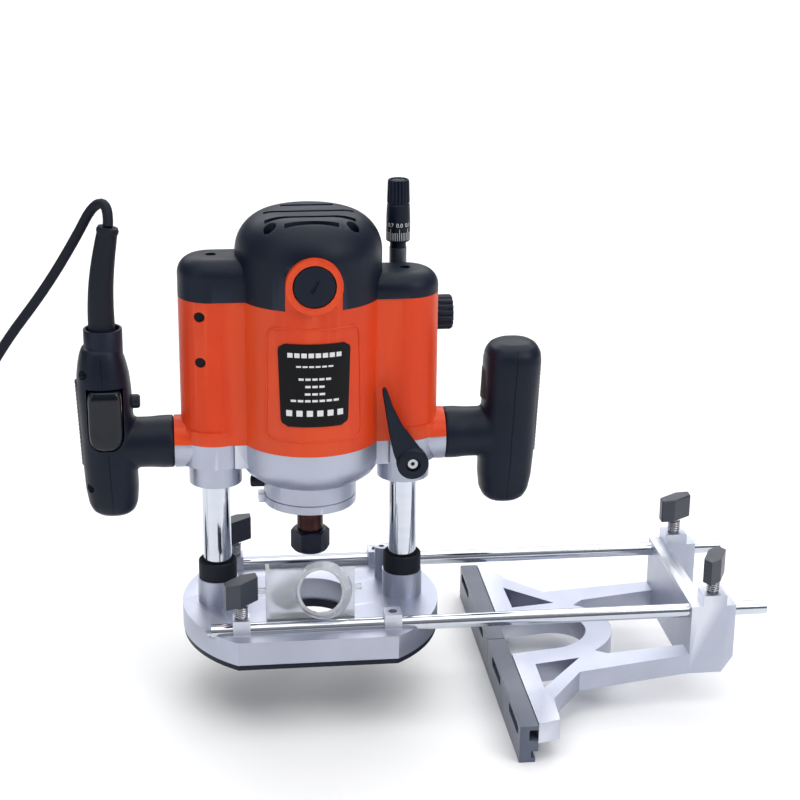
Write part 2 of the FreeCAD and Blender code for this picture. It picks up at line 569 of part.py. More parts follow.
def make_caps(screws):
    blank = cylinder("dome_blank", ("0", "0", "split_high"), "body_rad", "cap_top - split_high")
    dome = rounded("dome", blank, (("cap_top", number("cap_round")),))
    hollow = turned("dome_hollow", [("0", "split_high - 1"), ("body_rad - 4", "split_high - 1"),
                                    ("body_rad - 4.5", "276"), ("body_rad - 9", "286"),
                                    ("body_rad - 15", "291"), ("0", "296")])
    seat = ring("bearing_carrier", ("0", "0", "top_bearing_low"), "top_bearing_rad + 3",
                "top_bearing_rad", "19")
    tools = []
    for index, (place, length) in enumerate(VENTS):
        tools.append(box(f"vent_{index}", (f"-{length} / 2", f"{place} - vent_wide / 2", "290"),
                         f"{length}", "vent_wide", "20"))
    for across, along in ((-1, -1), (1, -1), (-1, 1), (1, 1)):
        place = (f"{across} * well_x", f"{along} * well_y", "well_floor")
        name = f"{across + 1}{along + 1}"
        tools.append(cylinder("cap_well_" + name, place, "well_rad", "20"))
        screws.append(cylinder("well_screw_" + name, place, "well_rad - 0.8", "1.4"))
    bosses = []
    caps = []
    for end, sign in ENDS:
        start = "-shroud_back" if sign < 0 else "commutator_rad + 12"
        bosses.append(cylinder(f"brush_boss_{end}", ("0", start, "brush_z"), "brush_boss_rad",
                               "shroud_back - commutator_rad - 12", "Y"))
        room_start = "-shroud_back - 16" if sign < 0 else "shroud_back"
        tools.append(cylinder(f"shroud_room_{end}", ("0", room_start, "brush_z"),
                              "shroud_rad + 0.1", "16", "Y"))
        tools.append(box(f"tongue_room_{end}", ("-shroud_rad - 0.1", room_start, "split_high - 1"),
                         "2 * shroud_rad + 0.2", "16", "brush_z - split_high + 1"))
        bore_start = "-brush_face" if sign < 0 else "commutator_rad + 1"
        tools.append(cylinder(f"brush_bore_{end}", ("0", bore_start, "brush_z"), "7",
                              "brush_face - commutator_rad - 1", "Y"))
        disc_start = "-brush_face - 0.6" if sign < 0 else "brush_face - 5"
        disc = cylinder(f"brush_disc_{end}", ("0", disc_start, "brush_z"), "brush_rad", "5.6", "Y")
        carbon_start = "-brush_face + 5" if sign < 0 else "commutator_rad + 0.3"
        carbon = cylinder(f"brush_tube_{end}", ("0", carbon_start, "brush_z"), "6.8",
                          "brush_face - commutator_rad - 5.3", "Y")
        slot_start = "-brush_face - 1" if sign < 0 else "brush_face - 0.6"
        lean = Rotation(Vector(0, 1, 0), -62)
        corner = lean.multVec(Vector(-4.8, 0, -1))
        slot = put(box(f"brush_slot_{end}", ("0", "0", "0"), "9.6", "1.6", "2"),
                   (f"{corner.x:.3f}", slot_start, f"brush_z + ({corner.z:.3f})"), lean)
        caps.append(cut(f"brush_cap_{end}", fuse(f"brush_plug_{end}", [disc, carbon]), [slot]))
    solids = fuse("cap_solids", [cut("cap_shell", dome, [hollow]), seat] + bosses)
    inner = cylinder("rotor_room", ("0", "0", "split_high - 1"), "24", "31")
    node("motor_cap", cut("motor_cap", solids, tools + [inner]))
    node("brush_caps", group("brush_caps", caps))

    for side, sign in SIDES:
        x = f"{sign} * column_x"
        top = f"tower_{side}_top"
        high = f"{top} - split_high"
        rounds = ((top, number("tower_round")),)
        blank = cylinder(f"tower_blank_{side}", (x, "0", "split_high"), "tower_rad", high)
        end = rounded(f"tower_dome_{side}", blank, rounds)
        far = f"{x} - tower_rad - 1" if sign < 0 else x
        outer = common(f"tower_end_{side}", end, box(f"tower_half_{side}", (far, "-tower_rad - 1",
                                                                          "split_high - 1"),
                                                    "tower_rad + 1", "2 * tower_rad + 2",
                                                    f"{high} + 2"))
        near = x if sign < 0 else f"{x} - 30"
        bridge = box(f"bridge_blank_{side}", (near, "-tower_rad", "split_high"), "30",
                     "2 * tower_rad", high)
        bridge = rounded(f"tower_bridge_{side}", bridge, rounds,
                         lambda limits: limits.YLength < 0.01)
        cap = fuse(f"tower_solid_{side}", [outer, bridge])
        centre_room = cylinder(f"cap_room_{side}", ("0", "0", "split_high - 1"), "body_rad", "80")
        column_room = cylinder(f"column_room_{side}", (x, "0", "split_high - 1"), "tower_bore",
                               "column_top + travel - split_high + 3")
        sink = cylinder(f"cap_sink_{side}", (x, "0", f"{top} - 3"), "3.6", "10")
        tools = [centre_room, column_room, sink]
        if sign > 0:
            tools.append(cylinder("cap_depth_room", ("stop_x", "stop_y", "split_high - 1"),
                                  "depth_tube_rad", "80"))
        node(f"tower_cap_{side}", cut(f"tower_cap_{side}", cap, tools))
        screws.append(cylinder(f"cap_screw_{side}", (x, "0", f"{top} - 3"), "3.4", "1.4"))
    node("housing_screws", group("housing_screws", screws))
    wrap = ring("label_wrap", ("0", "0", "168"), "body_rad + 0.5", "body_rad", "58")
    window = box("label_window", ("-24", "-60", "168"), "48", "30", "58")
    node("label_plate", common("label_plate", wrap, window))


def make_motor():
    node("stator", ring("stator", ("0", "0", "core_low"), "stator_rad", "stator_bore",
                        "core_high - core_low"))
    lower = ring("bearing_lower", ("0", "0", "bearing_low"), "bearing_rad",
                 "spindle_rad + slide_gap", "bearing_thick")
    upper = ring("bearing_upper", ("0", "0", "top_bearing_low"), "top_bearing_rad",
                 "spindle_rad + slide_gap", "9")
    node("bearings", group("bearings", [lower, upper]))
    shaft = turned("spindle", [("0", "collet_high"), ("collet_wall", "collet_high"),
                               ("collet_wall", "62"), ("thread_rad", "62"),
                               ("thread_rad", "spindle_low + 0.3"),
                               ("spindle_rad", "spindle_low + 0.3"),
                               ("spindle_rad", "spindle_top"), ("0", "spindle_top")])
    node("spindle_shaft", shaft)
    node("rotor_core", ring("rotor_core", ("0", "0", "core_low"), "core_rad", "spindle_rad",
                            "core_high - core_low"))
    node("commutator", ring("commutator", ("0", "0", "commutator_low"), "commutator_rad",
                            "spindle_rad", "commutator_high - commutator_low"))
    hub = ring("fan_hub", ("0", "0", "fan_low"), "14", "spindle_rad", "fan_high - fan_low")
    disc = ring("fan_disc", ("0", "0", "fan_low"), "fan_rad - 1", "13", "1.5")
    blades = []
    for index in range(12):
        blade = box(f"fan_blade_{index}", ("0", "0", "fan_low"), "fan_rad - 13.5", "1.4",
                    "fan_high - fan_low")
        turn = Rotation(Vector(0, 0, 1), 30 * index)
        blade.Placement = Placement(Vector(0, 0, 0), turn)
        start = turn.multVec(Vector(13.5, -0.7, 0))
        blades.append(put(blade, (f"{start.x:.3f}", f"{start.y:.3f}", "fan_low"), turn))
    node("fan", fuse("fan", [hub, disc] + blades))
    collet = turned("collet", [("collet_rad", "collet_low"), ("collet_wall - 0.6", "collet_low"),
                               ("collet_wall", "62"), ("collet_wall", "collet_high"),
                               ("collet_rad", "collet_high")])
    node("collet", collet)
    across = f"nut_flats / 2 / {math.cos(math.pi / 6):.6f}"
    corners = []
    for index in range(6):
        turn = math.radians(60 * index)
        corners.append((f"{across} * {math.cos(turn):.6f}", f"{across} * {math.sin(turn):.6f}"))
    prism = slab("nut_prism", "XY_Plane", corners, "400")
    blank = turned("nut_blank", [("thread_rad + slide_gap", "nut_low + 4"),
                                 ("collet_wall + 0.3", "nut_low + 4"),
                                 ("collet_wall + 0.3", "nut_low"), ("nut_flats / 2 - 0.3", "nut_low"),
                                 ("nut_flats / 2 + 2", "nut_low + nut_chamfer + 0.6"),
                                 ("nut_flats / 2 + 2", "nut_high - nut_chamfer"),
                                 ("nut_flats / 2 - 0.8", "nut_high"),
                                 ("thread_rad + slide_gap", "nut_high")])
    node("collet_nut", common("collet_nut", prism, blank))


def make_handles():
    pads = []
    for side, sign in SIDES:
        turn = Rotation(Vector(0, 1, 0), sign * number("grip_lean"))
        x = f"{sign} * grip_x"
        grip = cylinder(f"grip_{side}", (x, "0", "grip_low"), "grip_rad", "grip_high - grip_low")
        soft = rounded(f"grip_round_{side}", grip, (("grip_low", number("grip_low_round")),
                                                    ("grip_high", number("grip_top_round"))))
        middle = Vector(number(x), 0, number("stem_z"))
        soft.Placement = Placement(Vector(), turn, middle)
        start = "stem_start + joint_gap" if sign > 0 else "-grip_x"
        stem = cylinder(f"stem_{side}", (start, "0", "stem_z"), "stem_rad",
                        "grip_x - stem_start - joint_gap", "X")
        solids = [soft, stem]
        if sign < 0:
            solids.append(cylinder("cord_cup", ("-grip_x", "0", "196"), "13", "29"))
        shell = fuse(f"handle_{side}_solid", solids)
        tools = [cylinder(f"grip_room_{side}", (x, "0", "grip_low + 14"), "grip_rad - grip_wall - 1",
                          "grip_high - grip_low - 30"),
                 cylinder(f"stem_room_{side}", (start, "0", "stem_z"), "stem_rad - grip_wall", "45",
                          "X")]
        if sign < 0:
            tools.append(box("trigger_window", ("-grip_x - trigger_wide / 2 - 0.4", "-30",
                                                "trigger_low - 0.4"), "trigger_wide + 0.8", "30",
                             "trigger_high - trigger_low + 0.8"))
            tools.append(cylinder("button_window", ("-grip_x", "0", "button_z"), "button_rad + 0.3",
                                  "40", "X"))
            tools.append(cylinder("sleeve_room", ("-grip_x", "0", "205"), "sleeve_rad", "40"))
        hollow = cut(f"handle_{side}_shell", shell, tools)
        front = box(f"half_front_{side}", (f"{x} - 60", "-60", "60"), "120", "60", "200")
        back = box(f"half_back_{side}", (f"{x} - 60", "0", "60"), "120", "60", "200")
        node(f"handle_{side}_front", common(f"handle_{side}_front", hollow, front))
        node(f"handle_{side}_rear", common(f"handle_{side}_rear", hollow, back))
        skin = ring(f"pad_wrap_{side}", ("0", "0", "0"), "grip_rad + pad_thick", "grip_rad", "62")
        pad_side = box(f"pad_side_{side}", ("12" if sign > 0 else "-40", "-12", "0"), "28", "24",
                       "62")
        pad = common(f"grip_pad_{side}", skin, pad_side)
        rest = Vector(number(x), 0, number("grip_low") + 38)
        pad.Placement = Placement(middle + turn.multVec(rest - middle), turn)
        pads.append(pad)
    node("grip_pads", group("grip_pads", pads))
    node("switch_body", box("switch_body", ("-grip_x - 9", "1", "150"), "18", "9", "32"))


def make_controls():
    node("trigger", box("trigger", ("-grip_x - trigger_wide / 2", "-trigger_front", "trigger_low"),
                        "trigger_wide", "trigger_front - trigger_back",
                        "trigger_high - trigger_low"))
    node("lock_button", cylinder("lock_button", ("-grip_x + 14.2", "0", "button_z"), "button_rad",
                                 "9.3", "X"))
    turn = Rotation(Vector(0, 0, 1), number("arbor_angle")) * AXES["X"]
    start = turn.multVec(Vector(0, 0, number("arbor_in")))
    node("spindle_lock_button", cylinder("spindle_lock_button",
                                         (f"{start.x:.3f}", f"{start.y:.3f}", "arbor_z"),
                                         "arbor_rad", "arbor_out - arbor_in", turn))
    hub = cylinder("lever_hub", ("0", "0", "0"), "lever_rad", "lever_thick", "Y")
    blade = slab("lever_blade", "XZ_Plane",
                 [("-lever_rad + 1", "0"), ("lever_rad - 1", "0"), ("lever_tip / 2", "lever_length"),
                  ("-lever_tip / 2", "lever_length")], "lever_thick")
    put(blade, ("0", "lever_thick / 2", "0"))
    joined = fuse("lever_solid", [hub, blade])
    hole = cylinder("lever_eye", ("0", "-1", "0"), "lever_pin_rad", "40", "Y")
    lever = cut("lock_lever", joined, [hole])
    put(lever, ("lever_x", "-lever_face - lever_thick", "lever_z"),
        Rotation(Vector(0, 1, 0), -number("lever_tilt")))
    node("lock_lever", lever)
    node("lever_screw", cylinder("lever_screw", ("lever_x", "-lever_face - lever_thick - 0.6",
                                                 "lever_z"), "lever_pin_rad", "19", "Y"))

    rod = cylinder("depth_shaft", ("stop_x", "stop_y", "depth_low"), "depth_rod_rad",
                   "micro_low + 9 - depth_low")
    node("depth_rod", rod)
    knob = turned("micrometer", [("depth_rod_rad + slide_gap", "micro_low"), ("7", "micro_low"),
                                 ("7", "micro_low + 12"), ("micro_rad", "micro_low + 12"),
                                 ("micro_rad", "micro_sleeve_top"),
                                 ("micro_rad - 0.9", "micro_sleeve_top + 1"),
                                 ("micro_top_rad", "micro_top - 1.2"),
                                 ("micro_top_rad - 1", "micro_top"), ("0", "micro_top"),
                                 ("0", "micro_low + 12"),
                                 ("depth_rod_rad + slide_gap", "micro_low + 12")])
    node("micrometer_knob", put(knob, ("stop_x", "stop_y", "0")))
    disc = cylinder("clamp_disc", ("clamp_x", "stop_y", "clamp_z"), "clamp_rad", "clamp_thick", "X")
    stud = cylinder("clamp_stud", ("stop_x + depth_rod_rad + 0.3", "stop_y", "clamp_z"), "stud_rad",
                    "clamp_x - stop_x - depth_rod_rad + 1", "X")
    node("side_clamp_knob", fuse("side_clamp_knob", [disc, stud]))
    wheel = cylinder("dial_wheel", ("0", "body_bore + 3", "dial_z"), "dial_rad", "dial_thick", "Y")
    pin = cylinder("dial_pin", ("0", "body_bore + 0.3", "dial_z"), "4", "4", "Y")
    node("speed_dial", fuse("speed_dial", [wheel, pin]))


# ---------------------------------------------------------------- mains cord
CORD_ROUTE = (
    # from the sleeve's mouth, over its fold, down to the floor and into the coil
    (-133.5, 0, 296.3), (-132.5, 4, 311), (-143, 14, 309), (-156, 13, 285), (-178, 8, 251),
    (-209, 1, 213), (-238, -6, 162), (-258, -14, 107), (-271, -24, 54), (-284, -38, 6),
    (-304, -48, -31), (-331, -33, -44.5), (-335, 4, -44.5), (-328, 37, -44.5),
)
ARC_SHARE = 0.45


def cord_path():
    """Straight runs joined by tangent arcs; returns the wire and prints each arc's radius."""
    points = [Vector(*place) for place in CORD_ROUTE]
    edges = []
    last = points[0]
    for before, here, after in zip(points, points[1:], points[2:]):
        back = (before - here).normalize()
        ahead = (after - here).normalize()
        half = (math.pi - back.getAngle(ahead)) / 2
        reach = ARC_SHARE * min((before - here).Length, (after - here).Length)
        radius = reach / math.tan(half)
        bisector = (back + ahead).normalize()
        start = here + back * reach
        end = here + ahead * reach
        middle = here + bisector * (radius / math.cos(half) - radius)
        edges.append(Part.LineSegment(last, start).toShape())
        edges.append(Part.Arc(start, middle, end).toShape())
        last = end
        print(f"cord arc at {tuple(here)}: radius {radius:.1f}")
    edges.append(Part.LineSegment(last, points[-1]).toShape())
    return Part.Wire(edges)


def make_cord():
    path = cord_path()
    radius = number("cord_rad")
    first = path.Edges[0]
    circle = Part.Circle(first.Vertexes[0].Point, first.tangentAt(first.FirstParameter), radius)
    profile = Part.Wire([circle.toShape()])
    tube = path.makePipeShell([profile], True, False)
    cord = doc.addObject("Part::Feature", "power_cord")
    cord.Shape = tube
    cord.Placement = Placement()
    node("power_cord", cord)
    expected = path.Length * math.pi * radius ** 2
    print(f"cord length {path.Length:.1f}, volume ratio {tube.Volume / expected:.4f}")
    at = ("coil_x", "coil_y", "floor_z")
    node("cord_coil", ring("cord_coil", at, "coil_out", "coil_in", "coil_high"))
    height = "floor_z + coil_high + plug_rad"
    x = "coil_x + 31"
    body = cylinder("plug_body", (x, "coil_y - plug_long + 5", height), "plug_rad",
                    "plug_long - 14", "Y")
    tail = cone("plug_tail", (x, "coil_y - 9", height), "plug_rad", "6", "14", "Y")
    pins = []
    for name, sign in ENDS:
        pins.append(cylinder("plug_pin_" + name, (f"{x} + {sign} * 9.5",
                                                  "coil_y - plug_long - 15", height),
                             "2.4", "21", "Y"))
    node("power_plug", fuse("power_plug", [body, tail] + pins))

    rise = number("sleeve_top - sleeve_low")
    lean = Rotation(Vector(0, 1, 0), math.degrees(math.asin(number("sleeve_lean") / rise)))
    sleeve = turned("sleeve", [("0", "0"), ("sleeve_rad", "0"), ("sleeve_rad - 1.2", "30"),
                               ("6.4", "78"), ("7.2", "80"), ("7.2", "84"), ("6.2", "86"),
                               ("0", "86")])
    node("strain_relief", put(sleeve, ("-grip_x", "0", "sleeve_low"), lean))


# ---------------------------------------------------------------- build, check and export
def checked_shape(label, shape):
    """The finished shape of a node, after it is known to be sound."""
    if "Invalid" in shape.State or "Error" in shape.State:
        raise RuntimeError(f"{label}: state {shape.State}")
    solid = shape.Shape
    if solid.isNull() or not solid.isValid() or not solid.Solids:
        raise RuntimeError(f"{label}: no sound solid")
    return solid


make_base()
make_columns()
make_deflector()
make_knobs()
make_guide()
make_caps(make_housings())
make_motor()
make_handles()
make_controls()
make_cord()
doc.recompute()

broken = [thing.Name for thing in doc.Objects if {"Invalid", "Error"} & set(thing.State)]
if broken:
    raise RuntimeError(f"failed objects: {broken}")
os.makedirs("parts", exist_ok=True)
for label, shape in nodes.items():
    checked_shape(label, shape).exportStep(f"parts/{label}.step")
print(len(nodes), "sub-parts written")
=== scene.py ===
import json
import math

import bmesh
import bpy
from mathutils import Matrix, Vector


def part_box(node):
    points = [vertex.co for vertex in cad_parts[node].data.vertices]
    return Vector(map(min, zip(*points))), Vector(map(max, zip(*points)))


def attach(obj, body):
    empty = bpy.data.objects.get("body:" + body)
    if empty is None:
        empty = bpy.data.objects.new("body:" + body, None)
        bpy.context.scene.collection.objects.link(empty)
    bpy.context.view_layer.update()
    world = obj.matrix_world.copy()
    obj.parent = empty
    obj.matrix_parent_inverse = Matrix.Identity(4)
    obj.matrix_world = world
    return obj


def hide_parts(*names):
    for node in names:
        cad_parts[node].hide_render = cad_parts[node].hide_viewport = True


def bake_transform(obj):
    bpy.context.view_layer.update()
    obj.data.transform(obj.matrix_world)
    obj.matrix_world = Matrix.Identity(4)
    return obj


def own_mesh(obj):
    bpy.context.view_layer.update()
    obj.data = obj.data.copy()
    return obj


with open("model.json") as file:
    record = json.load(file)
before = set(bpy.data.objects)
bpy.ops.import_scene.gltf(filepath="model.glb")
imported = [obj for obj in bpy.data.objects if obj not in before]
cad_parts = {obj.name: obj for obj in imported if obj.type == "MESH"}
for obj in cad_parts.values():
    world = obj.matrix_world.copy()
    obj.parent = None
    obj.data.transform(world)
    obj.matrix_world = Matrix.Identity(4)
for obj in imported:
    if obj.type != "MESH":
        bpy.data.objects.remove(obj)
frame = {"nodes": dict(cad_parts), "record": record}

# X runs along the guide rods towards the fence, Y to the back and Z up, from the spindle axis
# at the underside of the sole. The camera, lights and floor are in metres and degrees, and the
# tables of the pieces in millimetres.
MM = 0.001
QUARTER = math.pi / 2
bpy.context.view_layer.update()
SLOTS = {entry["node"]: entry["material_slot"] for entry in frame["record"]["subparts"]}
BODIES = frame["record"]["behaviour"]["bodies"]
BODY_OF = {name: body for body, names in BODIES.items() for name in names}
FLOOR_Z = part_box("fence_front")[0].z


# ---------------------------------------------------------------- camera, light and floor
CAMERA_PLACE = (-0.0938, -1.2488, 0.6063)
# Yaw, pitch and roll.
CAMERA_AIM = (7.18, 19.21, 0.585)
CAMERA_LENS = 85.73
CAMERA_SENSOR = 36
CAMERA_REACH = 50
WORLD_STRENGTH = 0.42
WALL_COLOUR = (0.34, 0.37, 0.43, 1)
FLOOR_SIZE = 24
FLOOR_MIDDLE = (0, 6)
FLOOR_GAP = 0.0003
LIGHTS = (
    # name, place, target, size, power, colour
    ("key", (1.5, -1.5, 1.6), (0, 0, 0.15), (1.4, 1.4), 21, (1, 1, 1)),
    ("fill", (-1.8, -1.2, 1.1), (0, 0, 0.15), (1.2, 1.6), 7, (0.93, 0.96, 1)),
    ("top", (0.1, -0.1, 2.2), (0, 0, 0.1), (3.2, 2.4), 40, (1, 1, 1)),
    ("backdrop", (0, 5.5, 3.4), (0, 5.5, 0), (7, 6), 300, (1, 1, 1)),
)


def aim(yaw, pitch, roll):
    """Camera axes for a heading to the right of +Y, a tilt down and a roll, in degrees."""
    yaw, pitch, roll = (math.radians(angle) for angle in (yaw, pitch, roll))
    ahead = Vector((math.sin(yaw) * math.cos(pitch), math.cos(yaw) * math.cos(pitch),
                    -math.sin(pitch)))
    right = Vector((math.cos(yaw), -math.sin(yaw), 0))
    up = right.cross(ahead)
    turned_right = right * math.cos(roll) + up * math.sin(roll)
    turned_up = up * math.cos(roll) - right * math.sin(roll)
    return Matrix((turned_right, turned_up, -ahead)).transposed()


def add_camera():
    """The camera at the photograph's viewing angle."""
    data = bpy.data.cameras.new("camera")
    data.lens = CAMERA_LENS
    data.sensor_width = CAMERA_SENSOR
    data.clip_end = CAMERA_REACH
    camera = bpy.data.objects.new("camera", data)
    bpy.context.collection.objects.link(camera)
    place = Matrix.Translation(CAMERA_PLACE)
    camera.matrix_world = place @ aim(*CAMERA_AIM).to_4x4()
    bpy.context.scene.camera = camera
    bpy.context.scene.view_settings.view_transform = "Standard"


def add_light(name, place, target, size, power, colour):
    """A soft rectangular light that faces its target."""
    data = bpy.data.lights.new(name, "AREA")
    data.shape = "RECTANGLE"
    data.size, data.size_y = size
    data.energy = power
    data.color = colour
    light = bpy.data.objects.new(name, data)
    bpy.context.collection.objects.link(light)
    way = Vector(target) - Vector(place)
    turn = way.to_track_quat("-Z", "Y").to_matrix().to_4x4()
    light.matrix_world = Matrix.Translation(place) @ turn


def add_world():
    """A plain, dim studio that is a little lighter overhead; the lights do most of the work."""
    world = bpy.data.worlds.new("studio")
    bpy.context.scene.world = world
    world.use_nodes = True
    nodes, links = world.node_tree.nodes, world.node_tree.links
    back = nodes["Background"]
    back.inputs["Strength"].default_value = WORLD_STRENGTH
    coordinate = nodes.new("ShaderNodeTexCoord")
    split = nodes.new("ShaderNodeSeparateXYZ")
    links.new(coordinate.outputs["Generated"], split.inputs[0])
    rise = nodes.new("ShaderNodeValToRGB")
    walls, ceiling = rise.color_ramp.elements
    walls.position, walls.color = 0.05, WALL_COLOUR
    ceiling.position, ceiling.color = 0.75, (1, 1, 1, 1)
    links.new(split.outputs["Z"], rise.inputs["Fac"])
    links.new(rise.outputs["Color"], back.inputs["Color"])


def add_stage():
    """A plain pale floor, a hair under the fence so that the two never share a plane."""
    bpy.ops.mesh.primitive_plane_add(size=FLOOR_SIZE, location=(*FLOOR_MIDDLE, FLOOR_Z - FLOOR_GAP))
    floor = bpy.context.object
    floor.name = "studio_floor"
    floor.data.materials.append(surface("floor_white", (0.94, 0.945, 0.95), 0.6, grain=40,
                                        depth=0.02, mottle=0.01))


# ---------------------------------------------------------------- materials
# Each noise is its scale and its detail.
MOTTLE_NOISE = (26, 4)
GLOSS_NOISE = (60, 3)
GRAIN_DETAIL = 5
# The grain's height is in metres, and wear starts and is full at these pointiness values.
GRAIN_HEIGHT = 0.0006
COAT_ROUGHNESS = 0.15
EDGE_POINTINESS = (0.53, 0.62)
RAMP_ENDS = (0.3, 0.7)


def surface(name, colour, roughness, metallic=0.0, grain=900.0, depth=0.1, mottle=0.06,
            smear=0.08, coat=0.0, wear=0.0, wear_colour=(0.5, 0.5, 0.5), stretch=(1, 1, 1),
            shine=0.5):
    """A moulded, cast or turned surface: fine grain, uneven colour and gloss, and worn edges."""
    result = bpy.data.materials.new(name)
    result.use_nodes = True
    nodes, links = result.node_tree.nodes, result.node_tree.links
    shader = nodes["Principled BSDF"]
    shader.inputs["Metallic"].default_value = metallic
    shader.inputs["Coat Weight"].default_value = coat
    shader.inputs["Coat Roughness"].default_value = COAT_ROUGHNESS
    shader.inputs["Specular IOR Level"].default_value = shine
    place = nodes.new("ShaderNodeTexCoord")
    mapping = nodes.new("ShaderNodeMapping")
    mapping.inputs["Scale"].default_value = stretch
    links.new(place.outputs["Object"], mapping.inputs["Vector"])

    def noise(scale, detail):
        texture = nodes.new("ShaderNodeTexNoise")
        texture.inputs["Scale"].default_value = scale
        texture.inputs["Detail"].default_value = detail
        links.new(mapping.outputs["Vector"], texture.inputs["Vector"])
        return texture.outputs["Fac"]

    ramp = nodes.new("ShaderNodeValToRGB")
    ramp.color_ramp.elements[0].position = RAMP_ENDS[0]
    ramp.color_ramp.elements[1].position = RAMP_ENDS[1]
    ramp.color_ramp.elements[0].color = [*(part * (1 - mottle) for part in colour), 1]
    ramp.color_ramp.elements[1].color = [*(min(1, part * (1 + mottle)) for part in colour), 1]
    links.new(noise(*MOTTLE_NOISE), ramp.inputs["Fac"])
    base = ramp.outputs["Color"]
    if wear:
        edge = nodes.new("ShaderNodeNewGeometry")
        mask = nodes.new("ShaderNodeMapRange")
        mask.inputs["From Min"].default_value = EDGE_POINTINESS[0]
        mask.inputs["From Max"].default_value = EDGE_POINTINESS[1]
        mask.inputs["To Max"].default_value = wear
        links.new(edge.outputs["Pointiness"], mask.inputs["Value"])
        mix = nodes.new("ShaderNodeMix")
        mix.data_type = "RGBA"
        # An RGBA mix takes its two colours at sockets 6 and 7 and gives the result at 2.
        links.new(mask.outputs[0], mix.inputs["Factor"])
        links.new(base, mix.inputs[6])
        mix.inputs[7].default_value = [*wear_colour, 1]
        base = mix.outputs[2]
    links.new(base, shader.inputs["Base Color"])

    gloss = nodes.new("ShaderNodeMapRange")
    gloss.inputs["To Min"].default_value = max(0.02, roughness - smear)
    gloss.inputs["To Max"].default_value = roughness + smear
    links.new(noise(*GLOSS_NOISE), gloss.inputs["Value"])
    links.new(gloss.outputs[0], shader.inputs["Roughness"])

    bump = nodes.new("ShaderNodeBump")
    bump.inputs["Strength"].default_value = depth
    bump.inputs["Distance"].default_value = GRAIN_HEIGHT
    links.new(noise(grain, GRAIN_DETAIL), bump.inputs["Height"])
    links.new(bump.outputs["Normal"], shader.inputs["Normal"])
    return result


def clear_surface():
    """Acrylic with the moulding haze that makes its walls show white."""
    result = surface("clear_acrylic", (0.90, 0.92, 0.95), 0.2, grain=120, depth=0.03, mottle=0.02,
                     smear=0.03)
    shader = result.node_tree.nodes["Principled BSDF"]
    shader.inputs["Transmission Weight"].default_value = 0.72
    shader.inputs["IOR"].default_value = 1.45
    return result


ORANGE = surface("orange_moulding", (0.66, 0.047, 0.006), 0.42, grain=1500, depth=0.10,
                 mottle=0.05, coat=0.05, wear=0.25, wear_colour=(0.8, 0.12, 0.03), shine=0.28)
BLACK = surface("black_moulding", (0.0035, 0.0075, 0.019), 0.42, grain=1700, depth=0.16,
                mottle=0.15, wear=0.30, wear_colour=(0.05, 0.06, 0.085), shine=0.22)
GLOSS_BLACK = surface("gloss_black_moulding", (0.003, 0.005, 0.011), 0.16, grain=700, depth=0.03,
                      mottle=0.12, coat=0.12, shine=0.3)
RUBBER = surface("black_rubber", (0.006, 0.0085, 0.016), 0.6, grain=1300, depth=0.2, mottle=0.2,
                 shine=0.25)
GRIP_RUBBER = surface("grip_rubber", (0.022, 0.024, 0.030), 0.62, grain=420, depth=0.8,
                      mottle=0.2)
GREY = surface("grey_moulding", (0.020, 0.025, 0.042), 0.38, grain=1500, depth=0.12,
               mottle=0.12, wear=0.3, wear_colour=(0.12, 0.13, 0.15))
CAST = surface("cast_aluminium", (0.44, 0.465, 0.56), 0.38, 0.85, grain=850, depth=0.28,
               mottle=0.05, smear=0.07, wear=0.6, wear_colour=(0.80, 0.82, 0.88))
CHROME = surface("hard_chrome", (0.60, 0.635, 0.70), 0.10, 1.0, grain=500, depth=0.015,
                 mottle=0.03, smear=0.04, stretch=(1, 1, 8))
ROD_CHROME = surface("rod_chrome", (0.56, 0.59, 0.65), 0.10, 1.0, grain=500, depth=0.015,
                     mottle=0.03, smear=0.04, stretch=(8, 1, 1))
STEEL = surface("machined_steel", (0.52, 0.52, 0.55), 0.28, 1.0, grain=900, depth=0.08,
                mottle=0.08)
BLACK_STEEL = surface("black_oxide", (0.008, 0.012, 0.026), 0.34, 0.6, grain=700, depth=0.12,
                      mottle=0.3, wear=0.5, wear_colour=(0.2, 0.21, 0.26))
BROWN_STEEL = surface("oiled_spindle", (0.045, 0.020, 0.018), 0.3, 0.9, grain=500, depth=0.1,
                      mottle=0.35, stretch=(1, 1, 6))
BRONZE = surface("sintered_bronze", (0.42, 0.26, 0.11), 0.4, 0.9, grain=1400, depth=0.25)
COPPER = surface("copper_winding", (0.55, 0.22, 0.09), 0.4, 0.9, grain=600, depth=0.5)
FENCE_BLACK = surface("fence_moulding", (0.065, 0.080, 0.125), 0.34, grain=1700, depth=0.12,
                      mottle=0.12, wear=0.3, wear_colour=(0.15, 0.17, 0.22))
# The housing screws are near black with little shine: a dark screw colour plus the painted shade of
# the wells round their heads.
SCREW_PAINTED_SHADE = surface("screw_painted_shade", (0.004, 0.005, 0.009), 0.4, grain=700, depth=0.1,
                       mottle=0.2, shine=0.15)
LABEL = surface("label_film", (0.003, 0.003, 0.004), 0.3, grain=300, depth=0.02, shine=0.15)
INK = surface("white_ink", (0.72, 0.72, 0.74), 0.5, grain=900, depth=0.05, mottle=0.02)
CLEAR = clear_surface()
FINISH = {
    "orange_plastic": ORANGE, "black_plastic": BLACK, "black_rubber": RUBBER,
    "cast_aluminium": CAST, "chrome_steel": CHROME, "steel": STEEL, "black_steel": BLACK_STEEL,
    "bronze": BRONZE, "copper": COPPER, "clear_plastic": CLEAR, "grey_plastic": GREY,
    "label": LABEL,
}
# The housing screws take the painted shade of their wells.
FINISH_OF_NODE = {"guide_rods": ROD_CHROME, "spindle_shaft": BROWN_STEEL, "trigger": GLOSS_BLACK,
                  "fence_front": FENCE_BLACK, "fence_back": FENCE_BLACK,
                  "housing_screws": SCREW_PAINTED_SHADE, "depth_rod": BLACK_STEEL}


